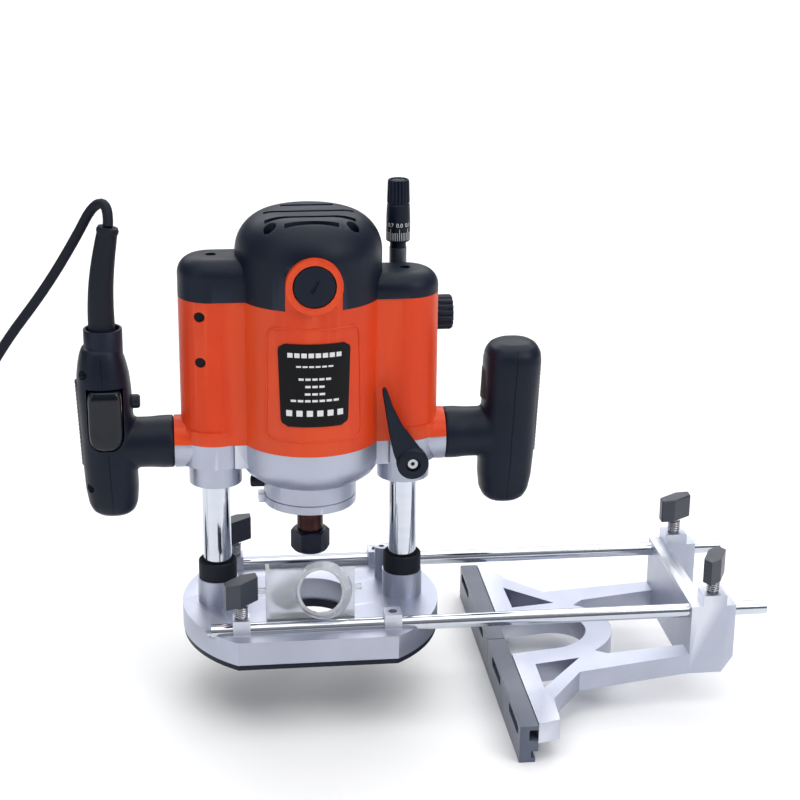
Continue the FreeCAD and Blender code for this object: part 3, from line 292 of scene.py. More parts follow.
def finish_of(node):
    """The material that a CAD node is shown in."""
    return FINISH_OF_NODE.get(node, FINISH[SLOTS[node]])


# ---------------------------------------------------------------- mesh helpers
# The angles are in degrees and the weld distance in metres.
BEVEL_ANGLE = 32
WELD_DISTANCE = 2e-6
FLAT_ANGLE = 0.6


def make_object(name, mesh, finish):
    """A linked object with one material."""
    piece = bpy.data.objects.new(name, mesh)
    bpy.context.collection.objects.link(piece)
    mesh.materials.clear()
    mesh.materials.append(finish)
    return piece


def smooth(mesh, angle=38):
    """Shade a mesh smooth except at edges sharper than an angle in degrees."""
    for face in mesh.polygons:
        face.use_smooth = True
    mesh.set_sharp_from_angle(angle=math.radians(angle))


def build_object(name, build, finish, angle=None):
    """An object from a bmesh, which is freed; it is shaded smooth if an angle is given."""
    mesh = bpy.data.meshes.new(name)
    build.to_mesh(mesh)
    build.free()
    if angle is not None:
        smooth(mesh, angle)
    return make_object(name, mesh, finish)


def skin_loops(build, loops, closed=False):
    """Faces between neighbouring loops of vertices, with a cap on each end unless closed."""
    pairs = list(zip(loops, loops[1:]))
    if closed:
        pairs.append((loops[-1], loops[0]))
    for low, high in pairs:
        for index, corner in enumerate(low):
            after = (index + 1) % len(low)
            build.faces.new((corner, low[after], high[after], high[index]))
    if not closed:
        build.faces.new(reversed(loops[0]))
        build.faces.new(loops[-1])


def skin_grid(build, rows):
    """Faces between neighbouring rows of vertices."""
    for low, high in zip(rows, rows[1:]):
        for index in range(len(low) - 1):
            build.faces.new((low[index], low[index + 1], high[index + 1], high[index]))


def stand(piece, place, turn, axis):
    """Turn a piece about an axis through its origin and put the origin at a place in metres."""
    piece.matrix_world = Matrix.Translation(place) @ Matrix.Rotation(turn, 4, axis)


def apply_modifiers(piece):
    """Apply a piece's modifiers in order."""
    bpy.context.view_layer.objects.active = piece
    for modifier in list(piece.modifiers):
        bpy.ops.object.modifier_apply(modifier=modifier.name)
    return piece


def settle(piece, body, slot, *replaced):
    """Finish a piece: put it on its body and hide the CAD nodes that it stands for; its material
    slot is not used.
    """
    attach(piece, body)
    if replaced:
        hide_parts(*replaced)
    return piece


def add_bevel(piece, width, segments=3):
    """Round the edges that are sharper than BEVEL_ANGLE; the width is in millimetres."""
    bevel = piece.modifiers.new("edges", "BEVEL")
    bevel.width = width * MM
    bevel.segments = segments
    bevel.limit_method = "ANGLE"
    bevel.angle_limit = math.radians(BEVEL_ANGLE)
    bevel.harden_normals = True


def polish(node, width):
    """A copy of a CAD node with its edges rounded as a casting, moulding or machining has them."""
    mesh = frame["nodes"][node].data.copy()
    build = bmesh.new()
    build.from_mesh(mesh)
    bmesh.ops.remove_doubles(build, verts=build.verts, dist=WELD_DISTANCE)
    bmesh.ops.dissolve_limit(build, angle_limit=math.radians(FLAT_ANGLE), verts=build.verts,
                             edges=build.edges)
    build.to_mesh(mesh)
    build.free()
    piece = make_object(node + "_finished", mesh, finish_of(node))
    smooth(mesh)
    add_bevel(piece, width)
    apply_modifiers(piece)
    return settle(piece, BODY_OF[node], SLOTS[node], node)


def superellipse(half_x, half_y, power, count):
    """Points round a rounded rectangle; a higher power has squarer corners."""
    points = []
    for index in range(count):
        turn = 2 * math.pi * index / count
        across, along = math.cos(turn), math.sin(turn)
        points.append((math.copysign(abs(across) ** (2 / power), across) * half_x,
                       math.copysign(abs(along) ** (2 / power), along) * half_y))
    return points


def loft(name, rings, finish, power=2.4, count=64):
    """A closed solid through rings of (x, y, z, half width, half depth), in millimetres."""
    build = bmesh.new()
    loops = []
    for x, y, z, half_x, half_y in rings:
        loop = [build.verts.new(((x + px) * MM, (y + py) * MM, z * MM))
                for px, py in superellipse(half_x, half_y, power, count)]
        loops.append(loop)
    skin_loops(build, loops)
    return build_object(name, build, finish, 38)


def turn_solid(name, outline, finish, count=96, flutes=0, flute_depth=0.0, flute_from=0.0):
    """A solid turned about Z from (radius, z) corners; flutes are cut above a height."""
    build = bmesh.new()
    loops = []
    for radius, z in outline:
        loop = []
        for index in range(count):
            turn = 2 * math.pi * index / count
            real = radius
            if flutes and z >= flute_from:
                real -= flute_depth * (0.5 + 0.5 * math.cos(turn * flutes)) ** 2
            loop.append(build.verts.new((real * math.cos(turn) * MM, real * math.sin(turn) * MM,
                                         z * MM)))
        loops.append(loop)
    skin_loops(build, loops)
    return build_object(name, build, finish, 30)


def tube(name, points, radius, finish, sides=12, closed=False):
    """A round tube along points in metres; radius is in millimetres, or a function of 0 to 1."""
    build = bmesh.new()
    count = len(points)
    loops = []
    side = None
    for index, point in enumerate(points):
        before = points[index - 1] if index or closed else point
        after = points[(index + 1) % count] if index < count - 1 or closed else point
        ahead = (Vector(after) - Vector(before)).normalized()
        if side is None:
            side = ahead.orthogonal().normalized()
        side = (side - ahead * side.dot(ahead)).normalized()
        other = ahead.cross(side)
        size = radius(index / (count - 1)) if callable(radius) else radius
        loop = []
        for step in range(sides):
            turn = 2 * math.pi * step / sides
            offset = (side * math.cos(turn) + other * math.sin(turn)) * size * MM
            loop.append(build.verts.new(Vector(point) + offset))
        loops.append(loop)
    skin_loops(build, loops, closed)
    bmesh.ops.recalc_face_normals(build, faces=build.faces)
    return build_object(name, build, finish, 50)


def block(name, low, high, finish, bevel=1.0, segments=4):
    """A moulded block between two corners in millimetres, with rounded edges."""
    build = bmesh.new()
    bmesh.ops.create_cube(build, size=1)
    for vertex in build.verts:
        for axis in range(3):
            middle = (low[axis] + high[axis]) / 2
            vertex.co[axis] = (middle + vertex.co[axis] * (high[axis] - low[axis])) * MM
    piece = build_object(name, build, finish, 38)
    add_bevel(piece, bevel, segments)
    return apply_modifiers(piece)


def thicken(piece, thickness, angle):
    """Give a sheet a thickness in millimetres, behind its face, and shade it smooth."""
    solid = piece.modifiers.new("thick", "SOLIDIFY")
    solid.thickness = thickness * MM
    solid.offset = -1
    apply_modifiers(piece)
    smooth(piece.data, angle)


def join(name, pieces):
    """Join pieces into the first one, and name it."""
    bpy.ops.object.select_all(action="DESELECT")
    for piece in pieces:
        piece.select_set(True)
    bpy.context.view_layer.objects.active = pieces[0]
    bpy.ops.object.join()
    pieces[0].name = name
    return pieces[0]


def melt(piece, voxel, rounds):
    """Fuse overlapping solids into one skin with rounded inside corners, as a moulding has."""
    remesh = piece.modifiers.new("skin", "REMESH")
    remesh.mode = "VOXEL"
    remesh.voxel_size = voxel * MM
    remesh.use_smooth_shade = True
    ease = piece.modifiers.new("ease", "SMOOTH")
    ease.factor = 0.5
    ease.iterations = rounds
    return apply_modifiers(piece)


def carve(piece, tools):
    """Cut tools out of a piece, and delete them."""
    for tool in tools:
        cutter = piece.modifiers.new("cut", "BOOLEAN")
        cutter.operation = "DIFFERENCE"
        cutter.solver = "EXACT"
        cutter.object = tool
        apply_modifiers(piece)
        bpy.data.objects.remove(tool)
    return piece


def half_of(piece, name, side, gap):
    """The part of a closed skin on one side of the plane y = 0, closed again along the seam."""
    mesh = piece.data.copy()
    build = bmesh.new()
    build.from_mesh(mesh)
    everything = build.verts[:] + build.edges[:] + build.faces[:]
    bmesh.ops.bisect_plane(build, geom=everything, plane_co=(0, side * gap * MM, 0),
                           plane_no=(0, -side, 0), clear_outer=True)
    rim = [edge for edge in build.edges if edge.is_boundary]
    bmesh.ops.holes_fill(build, edges=rim)
    bmesh.ops.recalc_face_normals(build, faces=build.faces)
    build.to_mesh(mesh)
    build.free()
    smooth(mesh, 45)
    return make_object(name, mesh, piece.data.materials[0])


# ---------------------------------------------------------------- handles
GRIP_X = 140.0
GRIP_MIDDLE = 143.0
LEAN = math.tan(math.radians(2.5))
# Each row of a grip is its height and its half width there.
RIGHT_GRIP = (
    (92, 7), (93.2, 11.5), (96, 15), (101, 17.4), (112, 19), (130, 19.6), (150, 19.3), (170, 19.3),
    (186, 20), (196, 20.2), (202, 19.3), (206.5, 16.6), (209.2, 12), (210.3, 6),
)
LEFT_GRIP = (
    (92, 7), (93.2, 11.5), (96, 15), (101, 17), (112, 18.3), (130, 18.6), (150, 18.4), (170, 18.5),
    (184, 18.5), (194, 17.8), (202, 16.4), (208, 14.9), (212, 13.4), (214, 11.5),
)
# Side 1 is the right handle and side -1 the left: its rows, its shift along X, its depth over
# its width and the radius that its pads follow.
GRIPS = {1: RIGHT_GRIP, -1: LEFT_GRIP}
GRIP_SHIFT = {1: 0, -1: 1}
GRIP_DEEP = {1: 1.04, -1: 1.09}
PAD_RADIUS = {1: 20.1, -1: 18.9}
SEAM_HALF_WIDTH = 0.28
SEAM_DEPTH = 0.75
SHELL_GAP = 0.05
STEM_START = 93.9
STEM_OUTLINE = ((18.3, 0), (18.3, 8), (17.6, 16), (17.6, 40), (17, 44))
CUP_OUTLINE = ((12.2, 190), (13, 200), (13, 212))
MOUTH_OUTLINE = ((13.2, 204), (13.2, 225.5), (12.8, 226), (11.6, 226), (11.2, 225.5), (11.2, 214))
TRIGGER_GAP_Y = -25
TRIGGER_GAP_DEEP = 15
# Height and half width of the opening round the trigger.
TRIGGER_GAP = ((143.6, 4.5), (144.8, 7.6), (147, 10), (150.5, 11.8), (155, 12.4), (187.8, 12.4))
BUTTON_WELL = ((5.4, 0), (5.4, 24))
BUTTON_WELL_PLACE = (-130 * MM, 0, 173 * MM)
SCREW_WELL = ((3.2, 0), (3.2, 14))
SCREW_WELL_HEIGHTS = (115, 197)
SCREW_WELL_Y = -13.2
SCREW_WELL_INSET = 10
# Name, side, the way it faces along X, its lowest height and the CAD node that it stands for.
PADS = (
    ("pad_right_out", 1, 1, 128, ("grip_pads",)),
    ("pad_right_in", 1, -1, 168, ()),
    ("pad_left_out", -1, -1, 128, ()),
)
PAD_TOP = 190
PAD_REACH = 13.0
PAD_COLUMNS = 14
PAD_ROWS = 40
PAD_RIB = 0.45
PAD_SUNK = 0.8
PAD_THICKNESS = 1.6


def grip_middle(side, z):
    """The X of a grip's middle at a height: both grips lean outwards."""
    return side * (GRIP_X + (z - GRIP_MIDDLE) * LEAN) + GRIP_SHIFT[side]


def grip_rings(side):
    """Loft rings of a whole grip."""
    return [(grip_middle(side, z), 0, z, half, half * GRIP_DEEP[side])
            for z, half in GRIPS[side]]


def seam_cutter(side):
    """A thin blade along the front of a grip, which cuts the moulding's parting groove."""
    rings = [(grip_middle(side, z), -half * GRIP_DEEP[side], z, SEAM_HALF_WIDTH, SEAM_DEPTH)
             for z, half in GRIPS[side][2:-2]]
    return loft("seam_cutter", rings, BLACK, power=4, count=12)


def stem_skin(side):
    """The round stem between a grip and the boss on the two housings."""
    stem = turn_solid("stem", STEM_OUTLINE, BLACK)
    stand(stem, (side * STEM_START * MM, 0, GRIP_MIDDLE * MM), side * QUARTER, "Y")
    return stem


def left_wells():
    """Cutters for the left grip's trigger, lock-off button and case screws."""
    rings = [(-GRIP_X, TRIGGER_GAP_Y, z, half, TRIGGER_GAP_DEEP) for z, half in TRIGGER_GAP]
    gap = loft("trigger_gap", rings, BLACK, power=9)
    button = turn_solid("button_well", BUTTON_WELL, BLACK)
    stand(button, BUTTON_WELL_PLACE, QUARTER, "Y")
    tools = [gap, button]
    for z in SCREW_WELL_HEIGHTS:
        well = turn_solid("screw_well", SCREW_WELL, BLACK)
        place = ((grip_middle(-1, z) - SCREW_WELL_INSET) * MM, SCREW_WELL_Y * MM, z * MM)
        stand(well, place, -QUARTER, "Y")
        tools.append(well)
    return tools


def make_handle(name, side):
    """One handle as its two moulded half shells; the left one also holds trigger and cord."""
    parts = [loft("grip", grip_rings(side), BLACK), stem_skin(side)]
    if side < 0:
        cup = turn_solid("cup", CUP_OUTLINE, BLACK)
        cup.location.x = -GRIP_X * MM
        parts.append(cup)
    skin = melt(join(name, parts), voxel=1.3, rounds=5)
    tools = [seam_cutter(side)]
    if side < 0:
        tools += left_wells()
    carve(skin, tools)
    if side < 0:
        mouth = turn_solid("mouth", MOUTH_OUTLINE, BLACK)
        mouth.location.x = -GRIP_X * MM
        skin = join(name, [skin, mouth])
    for half, end in (("front", -1), ("rear", 1)):
        shell = half_of(skin, f"{name}_{half}_shell", end, SHELL_GAP)
        settle(shell, "motor_head", "black_plastic", f"{name}_{half}")
    bpy.data.objects.remove(skin)


def make_pad(name, side, across, low, replaced):
    """A raised rubber pad with cross ribs that follows the grip's outer or inner side."""
    build = bmesh.new()
    grid = []
    for row in range(PAD_ROWS + 1):
        z = low + (PAD_TOP - low) * row / PAD_ROWS
        edge = math.sqrt(max(0.0, 1 - abs(2 * row / PAD_ROWS - 1) ** 6))
        line = []
        for column in range(PAD_COLUMNS + 1):
            share = 2 * column / PAD_COLUMNS - 1
            y = share * PAD_REACH * max(edge, 0.05)
            bulge = math.sqrt(max(1.0, PAD_RADIUS[side] ** 2 - y ** 2))
            rib = PAD_RIB * (row % 2) * (abs(share) < 0.93)
            taper = 0.3 + 0.7 * (1 - abs(share) ** 8)
            x = grip_middle(side, z) + across * (bulge - PAD_SUNK + taper + rib)
            line.append(build.verts.new((x * MM, y * MM, z * MM)))
        grid.append(line)
    skin_grid(build, grid)
    bmesh.ops.recalc_face_normals(build, faces=build.faces)
    pad = build_object(name, build, GRIP_RUBBER)
    if pad.data.polygons[0].normal.x * across < 0:
        pad.data.flip_normals()
    thicken(pad, PAD_THICKNESS, 60)
    settle(pad, "motor_head", "black_rubber", *replaced)


# ---------------------------------------------------------------- controls
# Height, half width and half depth of the trigger key.
TRIGGER_KEY = (
    (144.6, 4, 5), (145.8, 7, 6.3), (148, 9.4, 7.2), (151.5, 11, 7.2), (156, 11.5, 6.8),
    (160, 11.5, 6.5), (170, 11.5, 6.6), (180, 11.5, 7.6), (185, 11, 7.4), (186.8, 9.5, 6),
)
TRIGGER_Y = -16.0
# Piece, CAD node, the way it points along X, then radii and how far each is short of its face.
BUTTONS = (
    ("lock_off_button", "lock_button", 1, ((4.9, 1.9), (4.5, 0.7), (3.4, 0))),
    ("arbor_button", "spindle_lock_button", -1, ((4.1, 1.4), (3.6, 0.4), (2.2, 0))),
)
LEVER_BACK = -28.2
LEVER_LEAN = -20
BLADE_BACK = -3.6
LEVER_HUB = ((10.2, 0), (11, 0.8), (11, 7.6), (9.8, 8.8), (6, 9))
# Height, half width, half depth and sideways bow of the lever's blade.
LEVER_BLADE = (
    (0, 9.8, 3.2, 0), (9, 9.2, 3.1, -0.8), (17.5, 7.6, 3.0, -1.7), (29, 5.0, 2.8, -2.3),
    (44, 2.9, 2.6, -1.6), (55, 2.0, 2.3, -0.4), (58.5, 1.2, 1.6, 0),
)
LEVER_EYE = ((5.2, -30), (5.2, -6.2))
LEVER_SCREW = (
    (3.0, -2), (3.0, 4.6), (3.8, 4.6), (3.8, 6.2), (3.4, 6.7), (1.5, 6.7), (1.2, 6.2), (0.4, 5.9),
)
SLEEVE_OUTLINE = (
    (5.2, 262), (5.6, 262.4), (5.6, 275.4), (8.0, 275.8), (8.3, 276.4), (8.3, 292), (7.9, 301.2),
    (7.5, 301.8), (7.5, 302.4),
)
CAP_OUTLINE = (
    (7.4, 302.2), (7.9, 302.8), (7.5, 317), (7.1, 318.6), (6.2, 319), (5.6, 318.2), (2, 318.2),
)
# The micrometer's scale: 40 marks, and a longer mark and a number at every fifth.
MARK_COUNT = 40
MARK_GROUP = 5
MARK_HALF_WIDTH = 0.16
MARK_RADII = (8.26, 8.42)
MARK_LOW = 277
MARK_LONG = 8.2
MARK_SHORT = 5.6
DIGIT_SIZE = 3.9
DIGIT_THICK = 0.05
DIGIT_RADIUS = 8.36
DIGIT_WRAP = 8.35
DIGIT_HEIGHT = 286.6
SIDE_KNOB = (
    (3, -20), (3, -0.5), (9, -0.5), (11.6, 0.4), (12.4, 1.6), (12.4, 10.6), (11.4, 12), (8, 12),
    (7.4, 11.4), (2, 11.4),
)
SIDE_KNOB_LONG = 12
DIAL = ((4, -3), (4, 0), (12.2, 0), (12.9, 0.8), (12.9, 4), (12, 5), (3, 5))
DIAL_LONG = 5


def make_trigger():
    """The glossy trigger key, which fills its gap in the left grip."""
    rings = [(-GRIP_X, TRIGGER_Y, z, half, deep) for z, half, deep in TRIGGER_KEY]
    trigger = loft("trigger_key", rings, GLOSS_BLACK, power=4.5)
    settle(trigger, "trigger", "black_plastic", "trigger")


def make_buttons():
    """The lock-off and spindle-lock buttons, each as long as its CAD node."""
    for name, node, way, corners in BUTTONS:
        low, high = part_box(node)
        long = (high.x - low.x) / MM
        outline = [(corners[0][0], 0)] + [(radius, long - short) for radius, short in corners]
        button = turn_solid(name, outline, BLACK, 48)
        root = low.x if way > 0 else high.x
        stand(button, (root, 0, (low.z + high.z) / 2), way * QUARTER, "Y")
        settle(button, node, "black_plastic", node)


def make_lever():
    """Plunge-lock lever: a round hub and a blade that thins towards its tip."""
    hub = turn_solid("hub", LEVER_HUB, BLACK, 64)
    hub.matrix_world = Matrix.Rotation(QUARTER, 4, "X")
    rings = [(aside, BLADE_BACK, height, half, deep) for height, half, deep, aside in LEVER_BLADE]
    blade = loft("lever_blade", rings, BLACK, power=3.2, count=48)
    lever = melt(join("lock_lever_moulding", [hub, blade]), voxel=0.5, rounds=1)
    well = turn_solid("screw_eye", LEVER_EYE, BLACK, 48)
    well.matrix_world = Matrix.Rotation(-QUARTER, 4, "X")
    carve(lever, [well])
    low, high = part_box("lever_screw")
    pivot = ((low.x + high.x) / 2, LEVER_BACK * MM, (low.z + high.z) / 2)
    lever.matrix_world = (Matrix.Translation(pivot) @
                          Matrix.Rotation(math.radians(LEVER_LEAN), 4, "Y") @ lever.matrix_world)
    settle(lever, "lock_lever", "black_plastic", "lock_lever")
    screw = turn_solid("lever_cap_screw", LEVER_SCREW, STEEL, 48)
    stand(screw, pivot, QUARTER, "X")
    settle(screw, "motor_head", "steel", "lever_screw")


def make_digit(words, turn):
    """A number wrapped round the micrometer's sleeve at an angle."""
    curve = bpy.data.curves.new("digit", "FONT")
    curve.body = words
    curve.size = DIGIT_SIZE * MM
    curve.extrude = DIGIT_THICK * MM
    curve.align_x = "CENTER"
    digit = bpy.data.objects.new("digit", curve)
    bpy.context.collection.objects.link(digit)
    bpy.context.view_layer.update()
    mesh = bpy.data.meshes.new_from_object(digit)
    bpy.data.objects.remove(digit)
    for vertex in mesh.vertices:
        turn_here = turn + vertex.co.x / (DIGIT_WRAP * MM)
        radius = DIGIT_RADIUS * MM + vertex.co.z
        height = DIGIT_HEIGHT * MM + vertex.co.y
        vertex.co = (radius * math.sin(turn_here), -radius * math.cos(turn_here), height)
    return make_object("digit", mesh, INK)


def make_micrometer():
    """Depth adjuster: a graduated sleeve under a fluted, tapered cap."""
    low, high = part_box("micrometer_knob")
    middle = (low + high) / 2
    sleeve = turn_solid("micrometer_sleeve", SLEEVE_OUTLINE, BLACK)
    cap = turn_solid("micrometer_cap", CAP_OUTLINE, BLACK, count=144, flutes=18, flute_depth=0.9,
                     flute_from=302.5)
    marks = []
    for index in range(MARK_COUNT):
        turn = 2 * math.pi * index / MARK_COUNT
        numbered = index % MARK_GROUP == 0
        top = MARK_LOW + (MARK_LONG if numbered else MARK_SHORT)
        mark = block("mark", (-MARK_HALF_WIDTH, MARK_RADII[0], MARK_LOW),
                     (MARK_HALF_WIDTH, MARK_RADII[1], top), INK, 0.02, 1)
        mark.matrix_world = Matrix.Rotation(turn, 4, "Z")
        marks.append(mark)
        if numbered:
            marks.append(make_digit(f"{index / 50:.1f}", turn))
    ink = join("micrometer_scale", marks)
    for piece, slot in ((sleeve, "black_plastic"), (cap, "black_plastic"), (ink, "label")):
        piece.matrix_world = Matrix.Translation((middle.x, middle.y, 0)) @ piece.matrix_world
        settle(piece, "micrometer_knob", slot)
    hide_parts("micrometer_knob")


def make_side_knob():
    """The fluted knob that clamps the depth rod."""
    low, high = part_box("side_clamp_knob")
    knob = turn_solid("side_knob", SIDE_KNOB, BLACK, count=144, flutes=16, flute_depth=1.3,
                      flute_from=1.0)
    stand(knob, (high.x - SIDE_KNOB_LONG * MM, (low.y + high.y) / 2, (low.z + high.z) / 2),
          QUARTER, "Y")
    settle(knob, "side_clamp_knob", "black_plastic", "side_clamp_knob")


def make_dial():
    """The speed dial at the back of the motor."""
    low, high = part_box("speed_dial")
    dial = turn_solid("dial_wheel", DIAL, GREY, count=144, flutes=24, flute_depth=0.7,
                      flute_from=0.5)
    stand(dial, (0, high.y - DIAL_LONG * MM, (low.z + high.z) / 2), -QUARTER, "X")
    settle(dial, "speed_dial", "black_plastic", "speed_dial")


# ---------------------------------------------------------------- springs and screws
# The head has 50 mm of travel; each spring stops this many millimetres short of its ends.
SPRING_MARGIN = 0.8


def make_spring(name, node_group, body, x, y, low, high, radius, wire, turns):
    """A coil spring between two heights in metres; its radius and wire are in millimetres."""
    points = []
    steps = turns * 20
    for index in range(steps + 1):
        share = index / steps
        turn = 2 * math.pi * turns * share
        points.append((x + radius * MM * math.cos(turn), y + radius * MM * math.sin(turn),
                       low + (high - low) * share))
    spring = tube(name, points, wire, STEEL, 8)
    return settle(spring, body, "steel", *node_group)


def make_plunge_springs():
    """The springs in the columns, on the base body, each with a mesh of its own and a margin at
    each end.
    """
    low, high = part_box("plunge_springs")
    for side in ("left", "right"):
        column_low, column_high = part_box(f"column_{side}")
        x = (column_low.x + column_high.x) / 2
        spring = make_spring(f"plunge_spring_{side}", ("plunge_springs",), "base", x, 0,
                             low.z + SPRING_MARGIN * MM, high.z - SPRING_MARGIN * MM, radius=5.2,
                             wire=0.8, turns=40)
        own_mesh(spring)


def make_springs():
    """The springs under the wing knobs of the base and of the guide."""
    for family, body in (("base", "base"), ("guide", "side_fence")):
        low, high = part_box(f"{family}_knob_springs")
        for end in ("front", "back"):
            stud_low, stud_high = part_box(f"knob_stud_{family}_{end}")
            x = (stud_low.x + stud_high.x) / 2
            y = (stud_low.y + stud_high.y) / 2
            node_group = (f"{family}_knob_springs",) if end == "front" else ()
            make_spring(f"{family}_{end}_spring", node_group, body, x, y,
                        low.z + SPRING_MARGIN * MM, high.z - SPRING_MARGIN * MM, radius=4.1,
                        wire=0.6, turns=5)


# ---------------------------------------------------------------- label and panel
# Radii on the motor housing, whose own is 50: the ridge, the film's face and the ink on it.
RIDGE_RADIUS = 50.1
FILM_RADIUS = 50.7
INK_RADIUS = 50.78
RIDGE_WIRE = 0.75
PANEL_CORNERS = ((-35, 157), (35, 157), (33, 236), (-33, 236))
PANEL_ROUND = 7
LABEL_LOW = 168
LABEL_HIGH = 226
LABEL_HALF = 23.5
LABEL_WIDENS = 2.0
LABEL_ROUND = 5
LABEL_STEPS = 24
LABEL_THICKNESS = 0.9
# Height, half width of the line, height of its bars and how many there are.
LABEL_LINES = (
    (216.8, 19, 4.0, 8), (210, 13, 1.5, 6), (201, 11.5, 2.0, 5), (195.8, 7.0, 2.0, 3),
    (190.6, 7.4, 2.0, 3), (185.8, 17, 2.0, 7),
)
# The bottom row: height, half width and height of a bar, then the first bar, pitch and count.
LABEL_FOOT = (175.6, 2.1, 4.2)
FOOT_FIRST = -17.5
FOOT_PITCH = 7
FOOT_COUNT = 6


def wrap(across, height, radius):
    """A point on the front of the round body: across is along the surface."""
    turn = across / radius
    return (radius * math.sin(turn) * MM, -radius * math.cos(turn) * MM, height * MM)


def rounded_outline(corners, radius, steps=6):
    """A closed outline through corners, each eased by a curve."""
    points = []
    count = len(corners)
    for index, corner in enumerate(corners):
        here = Vector(corner)
        before = (Vector(corners[index - 1]) - here).normalized()
        after = (Vector(corners[(index + 1) % count]) - here).normalized()
        for step in range(steps + 1):
            share = step / steps
            start, end = here + before * radius, here + after * radius
            points.append(tuple(start * (1 - share) ** 2 + here * 2 * share * (1 - share) +
                                end * share ** 2))
    return points


def make_ridge():
    """The raised line moulded into the housing round the label."""
    outline = rounded_outline(PANEL_CORNERS, PANEL_ROUND)
    dense = []
    for first, second in zip(outline, outline[1:] + outline[:1]):
        for step in range(4):
            share = step / 4
            dense.append((first[0] * (1 - share) + second[0] * share,
                          first[1] * (1 - share) + second[1] * share))
    points = [wrap(across, z, RIDGE_RADIUS) for across, z in dense]
    ridge = tube("panel_ridge", points, RIDGE_WIRE, ORANGE, 8, True)
    settle(ridge, "motor_head", "orange_plastic")


def make_label():
    """The label film, and the plain bars that stand for its print."""
    build = bmesh.new()
    grid = []
    for row in range(LABEL_STEPS + 1):
        z = LABEL_LOW + (LABEL_HIGH - LABEL_LOW) * row / LABEL_STEPS
        half = LABEL_HALF + LABEL_WIDENS * row / LABEL_STEPS
        inset = max(0.0, LABEL_ROUND - min(z - LABEL_LOW, LABEL_HIGH - z))
        half -= LABEL_ROUND - math.sqrt(max(0.0, LABEL_ROUND ** 2 - inset ** 2))
        grid.append([build.verts.new(wrap(half * (2 * column / LABEL_STEPS - 1), z, FILM_RADIUS))
                     for column in range(LABEL_STEPS + 1)])
    skin_grid(build, grid)
    film = build_object("label_film", build, LABEL)
    thicken(film, LABEL_THICKNESS, 50)
    settle(film, "motor_head", "label", "label_plate")
    bars = []
    for height, half, tall, count in LABEL_LINES:
        pitch = 2 * half / count
        for index in range(count):
            bars.append(make_bar(height, pitch * 0.38, tall * 0.8, pitch * (index + 0.5) - half))
    for index in range(FOOT_COUNT):
        bars.append(make_bar(*LABEL_FOOT, FOOT_FIRST + FOOT_PITCH * index))
    settle(join("label_bars", bars), "motor_head", "label")


def make_bar(height, half, tall, middle):
    """A plain printed bar on the label."""
    build = bmesh.new()
    steps = 10
    rows = [[build.verts.new(wrap(middle + half * (2 * index / steps - 1), z, INK_RADIUS))
             for index in range(steps + 1)] for z in (height, height + tall)]
    skin_grid(build, rows)
    return build_object("bar", build, INK)


# ---------------------------------------------------------------- mains cord
CORD_RADIUS = 3.5
CORD_FLOOR = -44.5
CORD_ROUTE = (
    (-133.5, 0, 296.3), (-132.5, 4, 311), (-143, 14, 309), (-156, 13, 285), (-178, 8, 251),
    (-209, 1, 213), (-238, -6, 162), (-258, -14, 107), (-271, -24, 54), (-284, -38, 6),
    (-304, -48, -31), (-331, -33, CORD_FLOOR), (-335, 4, CORD_FLOOR), (-328, 37, CORD_FLOOR),
)
COIL_CENTRE = (-290, 62)
# Radius and layer of each turn of the coil.
COIL_TURNS = ((45, 0), (38, 0), (31, 0), (31, 1), (38, 1), (45, 1), (38, 2), (31, 2))
COIL_START = 198
COIL_STEPS = 16
COIL_HOLD = 0.6
COIL_LAST_STEPS = 7
COIL_LAST_RISE = 20.0
# Where the cord ends, just inside the plug's tail.
PLUG_ENTRY = (COIL_CENTRE[0] + 31, COIL_CENTRE[1] + 4, -9)
# Distance along and half width of the plug.
PLUG_OUTLINE = (
    (0, 5.2), (4, 6.4), (10, 9.5), (15, 15.5), (18, 17.3), (30, 17.8), (44, 17.8), (45.5, 17.2),
    (46, 15),
)
PIN_OUTLINE = ((2.4, 42), (2.4, 64), (1.9, 65.4), (0.8, 66))
PIN_SIDE = 9.5
TIE_MARGIN = 4.6
TIE_LOW = -47.9
TIE_TOP = -25.4
# The tie's slanting shoulder: where it meets the top, and how high it starts outside.
TIE_SHOULDER = (36, -32)
TIE_HALF_WIDTH = 7
TIE_THICKNESS = 1.1
SLEEVE_FOOT = (-GRIP_X, 0, 212)
SLEEVE_MOUTH = (-133.5, 0, 296)
SLEEVE_BOW = -3.2


def coil_points():
    """Points of the turns: each turn keeps its radius and layer, then eases into the next."""
    points = []
    last = len(COIL_TURNS) - 1
    for number, (radius, layer) in enumerate(COIL_TURNS):
        after = COIL_TURNS[min(number + 1, last)]
        for step in range(COIL_STEPS if number < last else COIL_LAST_STEPS):
            ease = max(0.0, (step - COIL_STEPS * COIL_HOLD) / (COIL_STEPS * (1 - COIL_HOLD)))
            here = radius + (after[0] - radius) * ease
            lift = CORD_FLOOR + 2 * CORD_RADIUS * (layer + (after[1] - layer) * ease)
            if number == last:
                lift += COIL_LAST_RISE * (step / (COIL_LAST_STEPS - 1)) ** 1.5
            turn = math.radians(COIL_START) - 2 * math.pi * step / COIL_STEPS
            points.append((COIL_CENTRE[0] + here * math.cos(turn),
                           COIL_CENTRE[1] + here * math.sin(turn), lift))
    return points


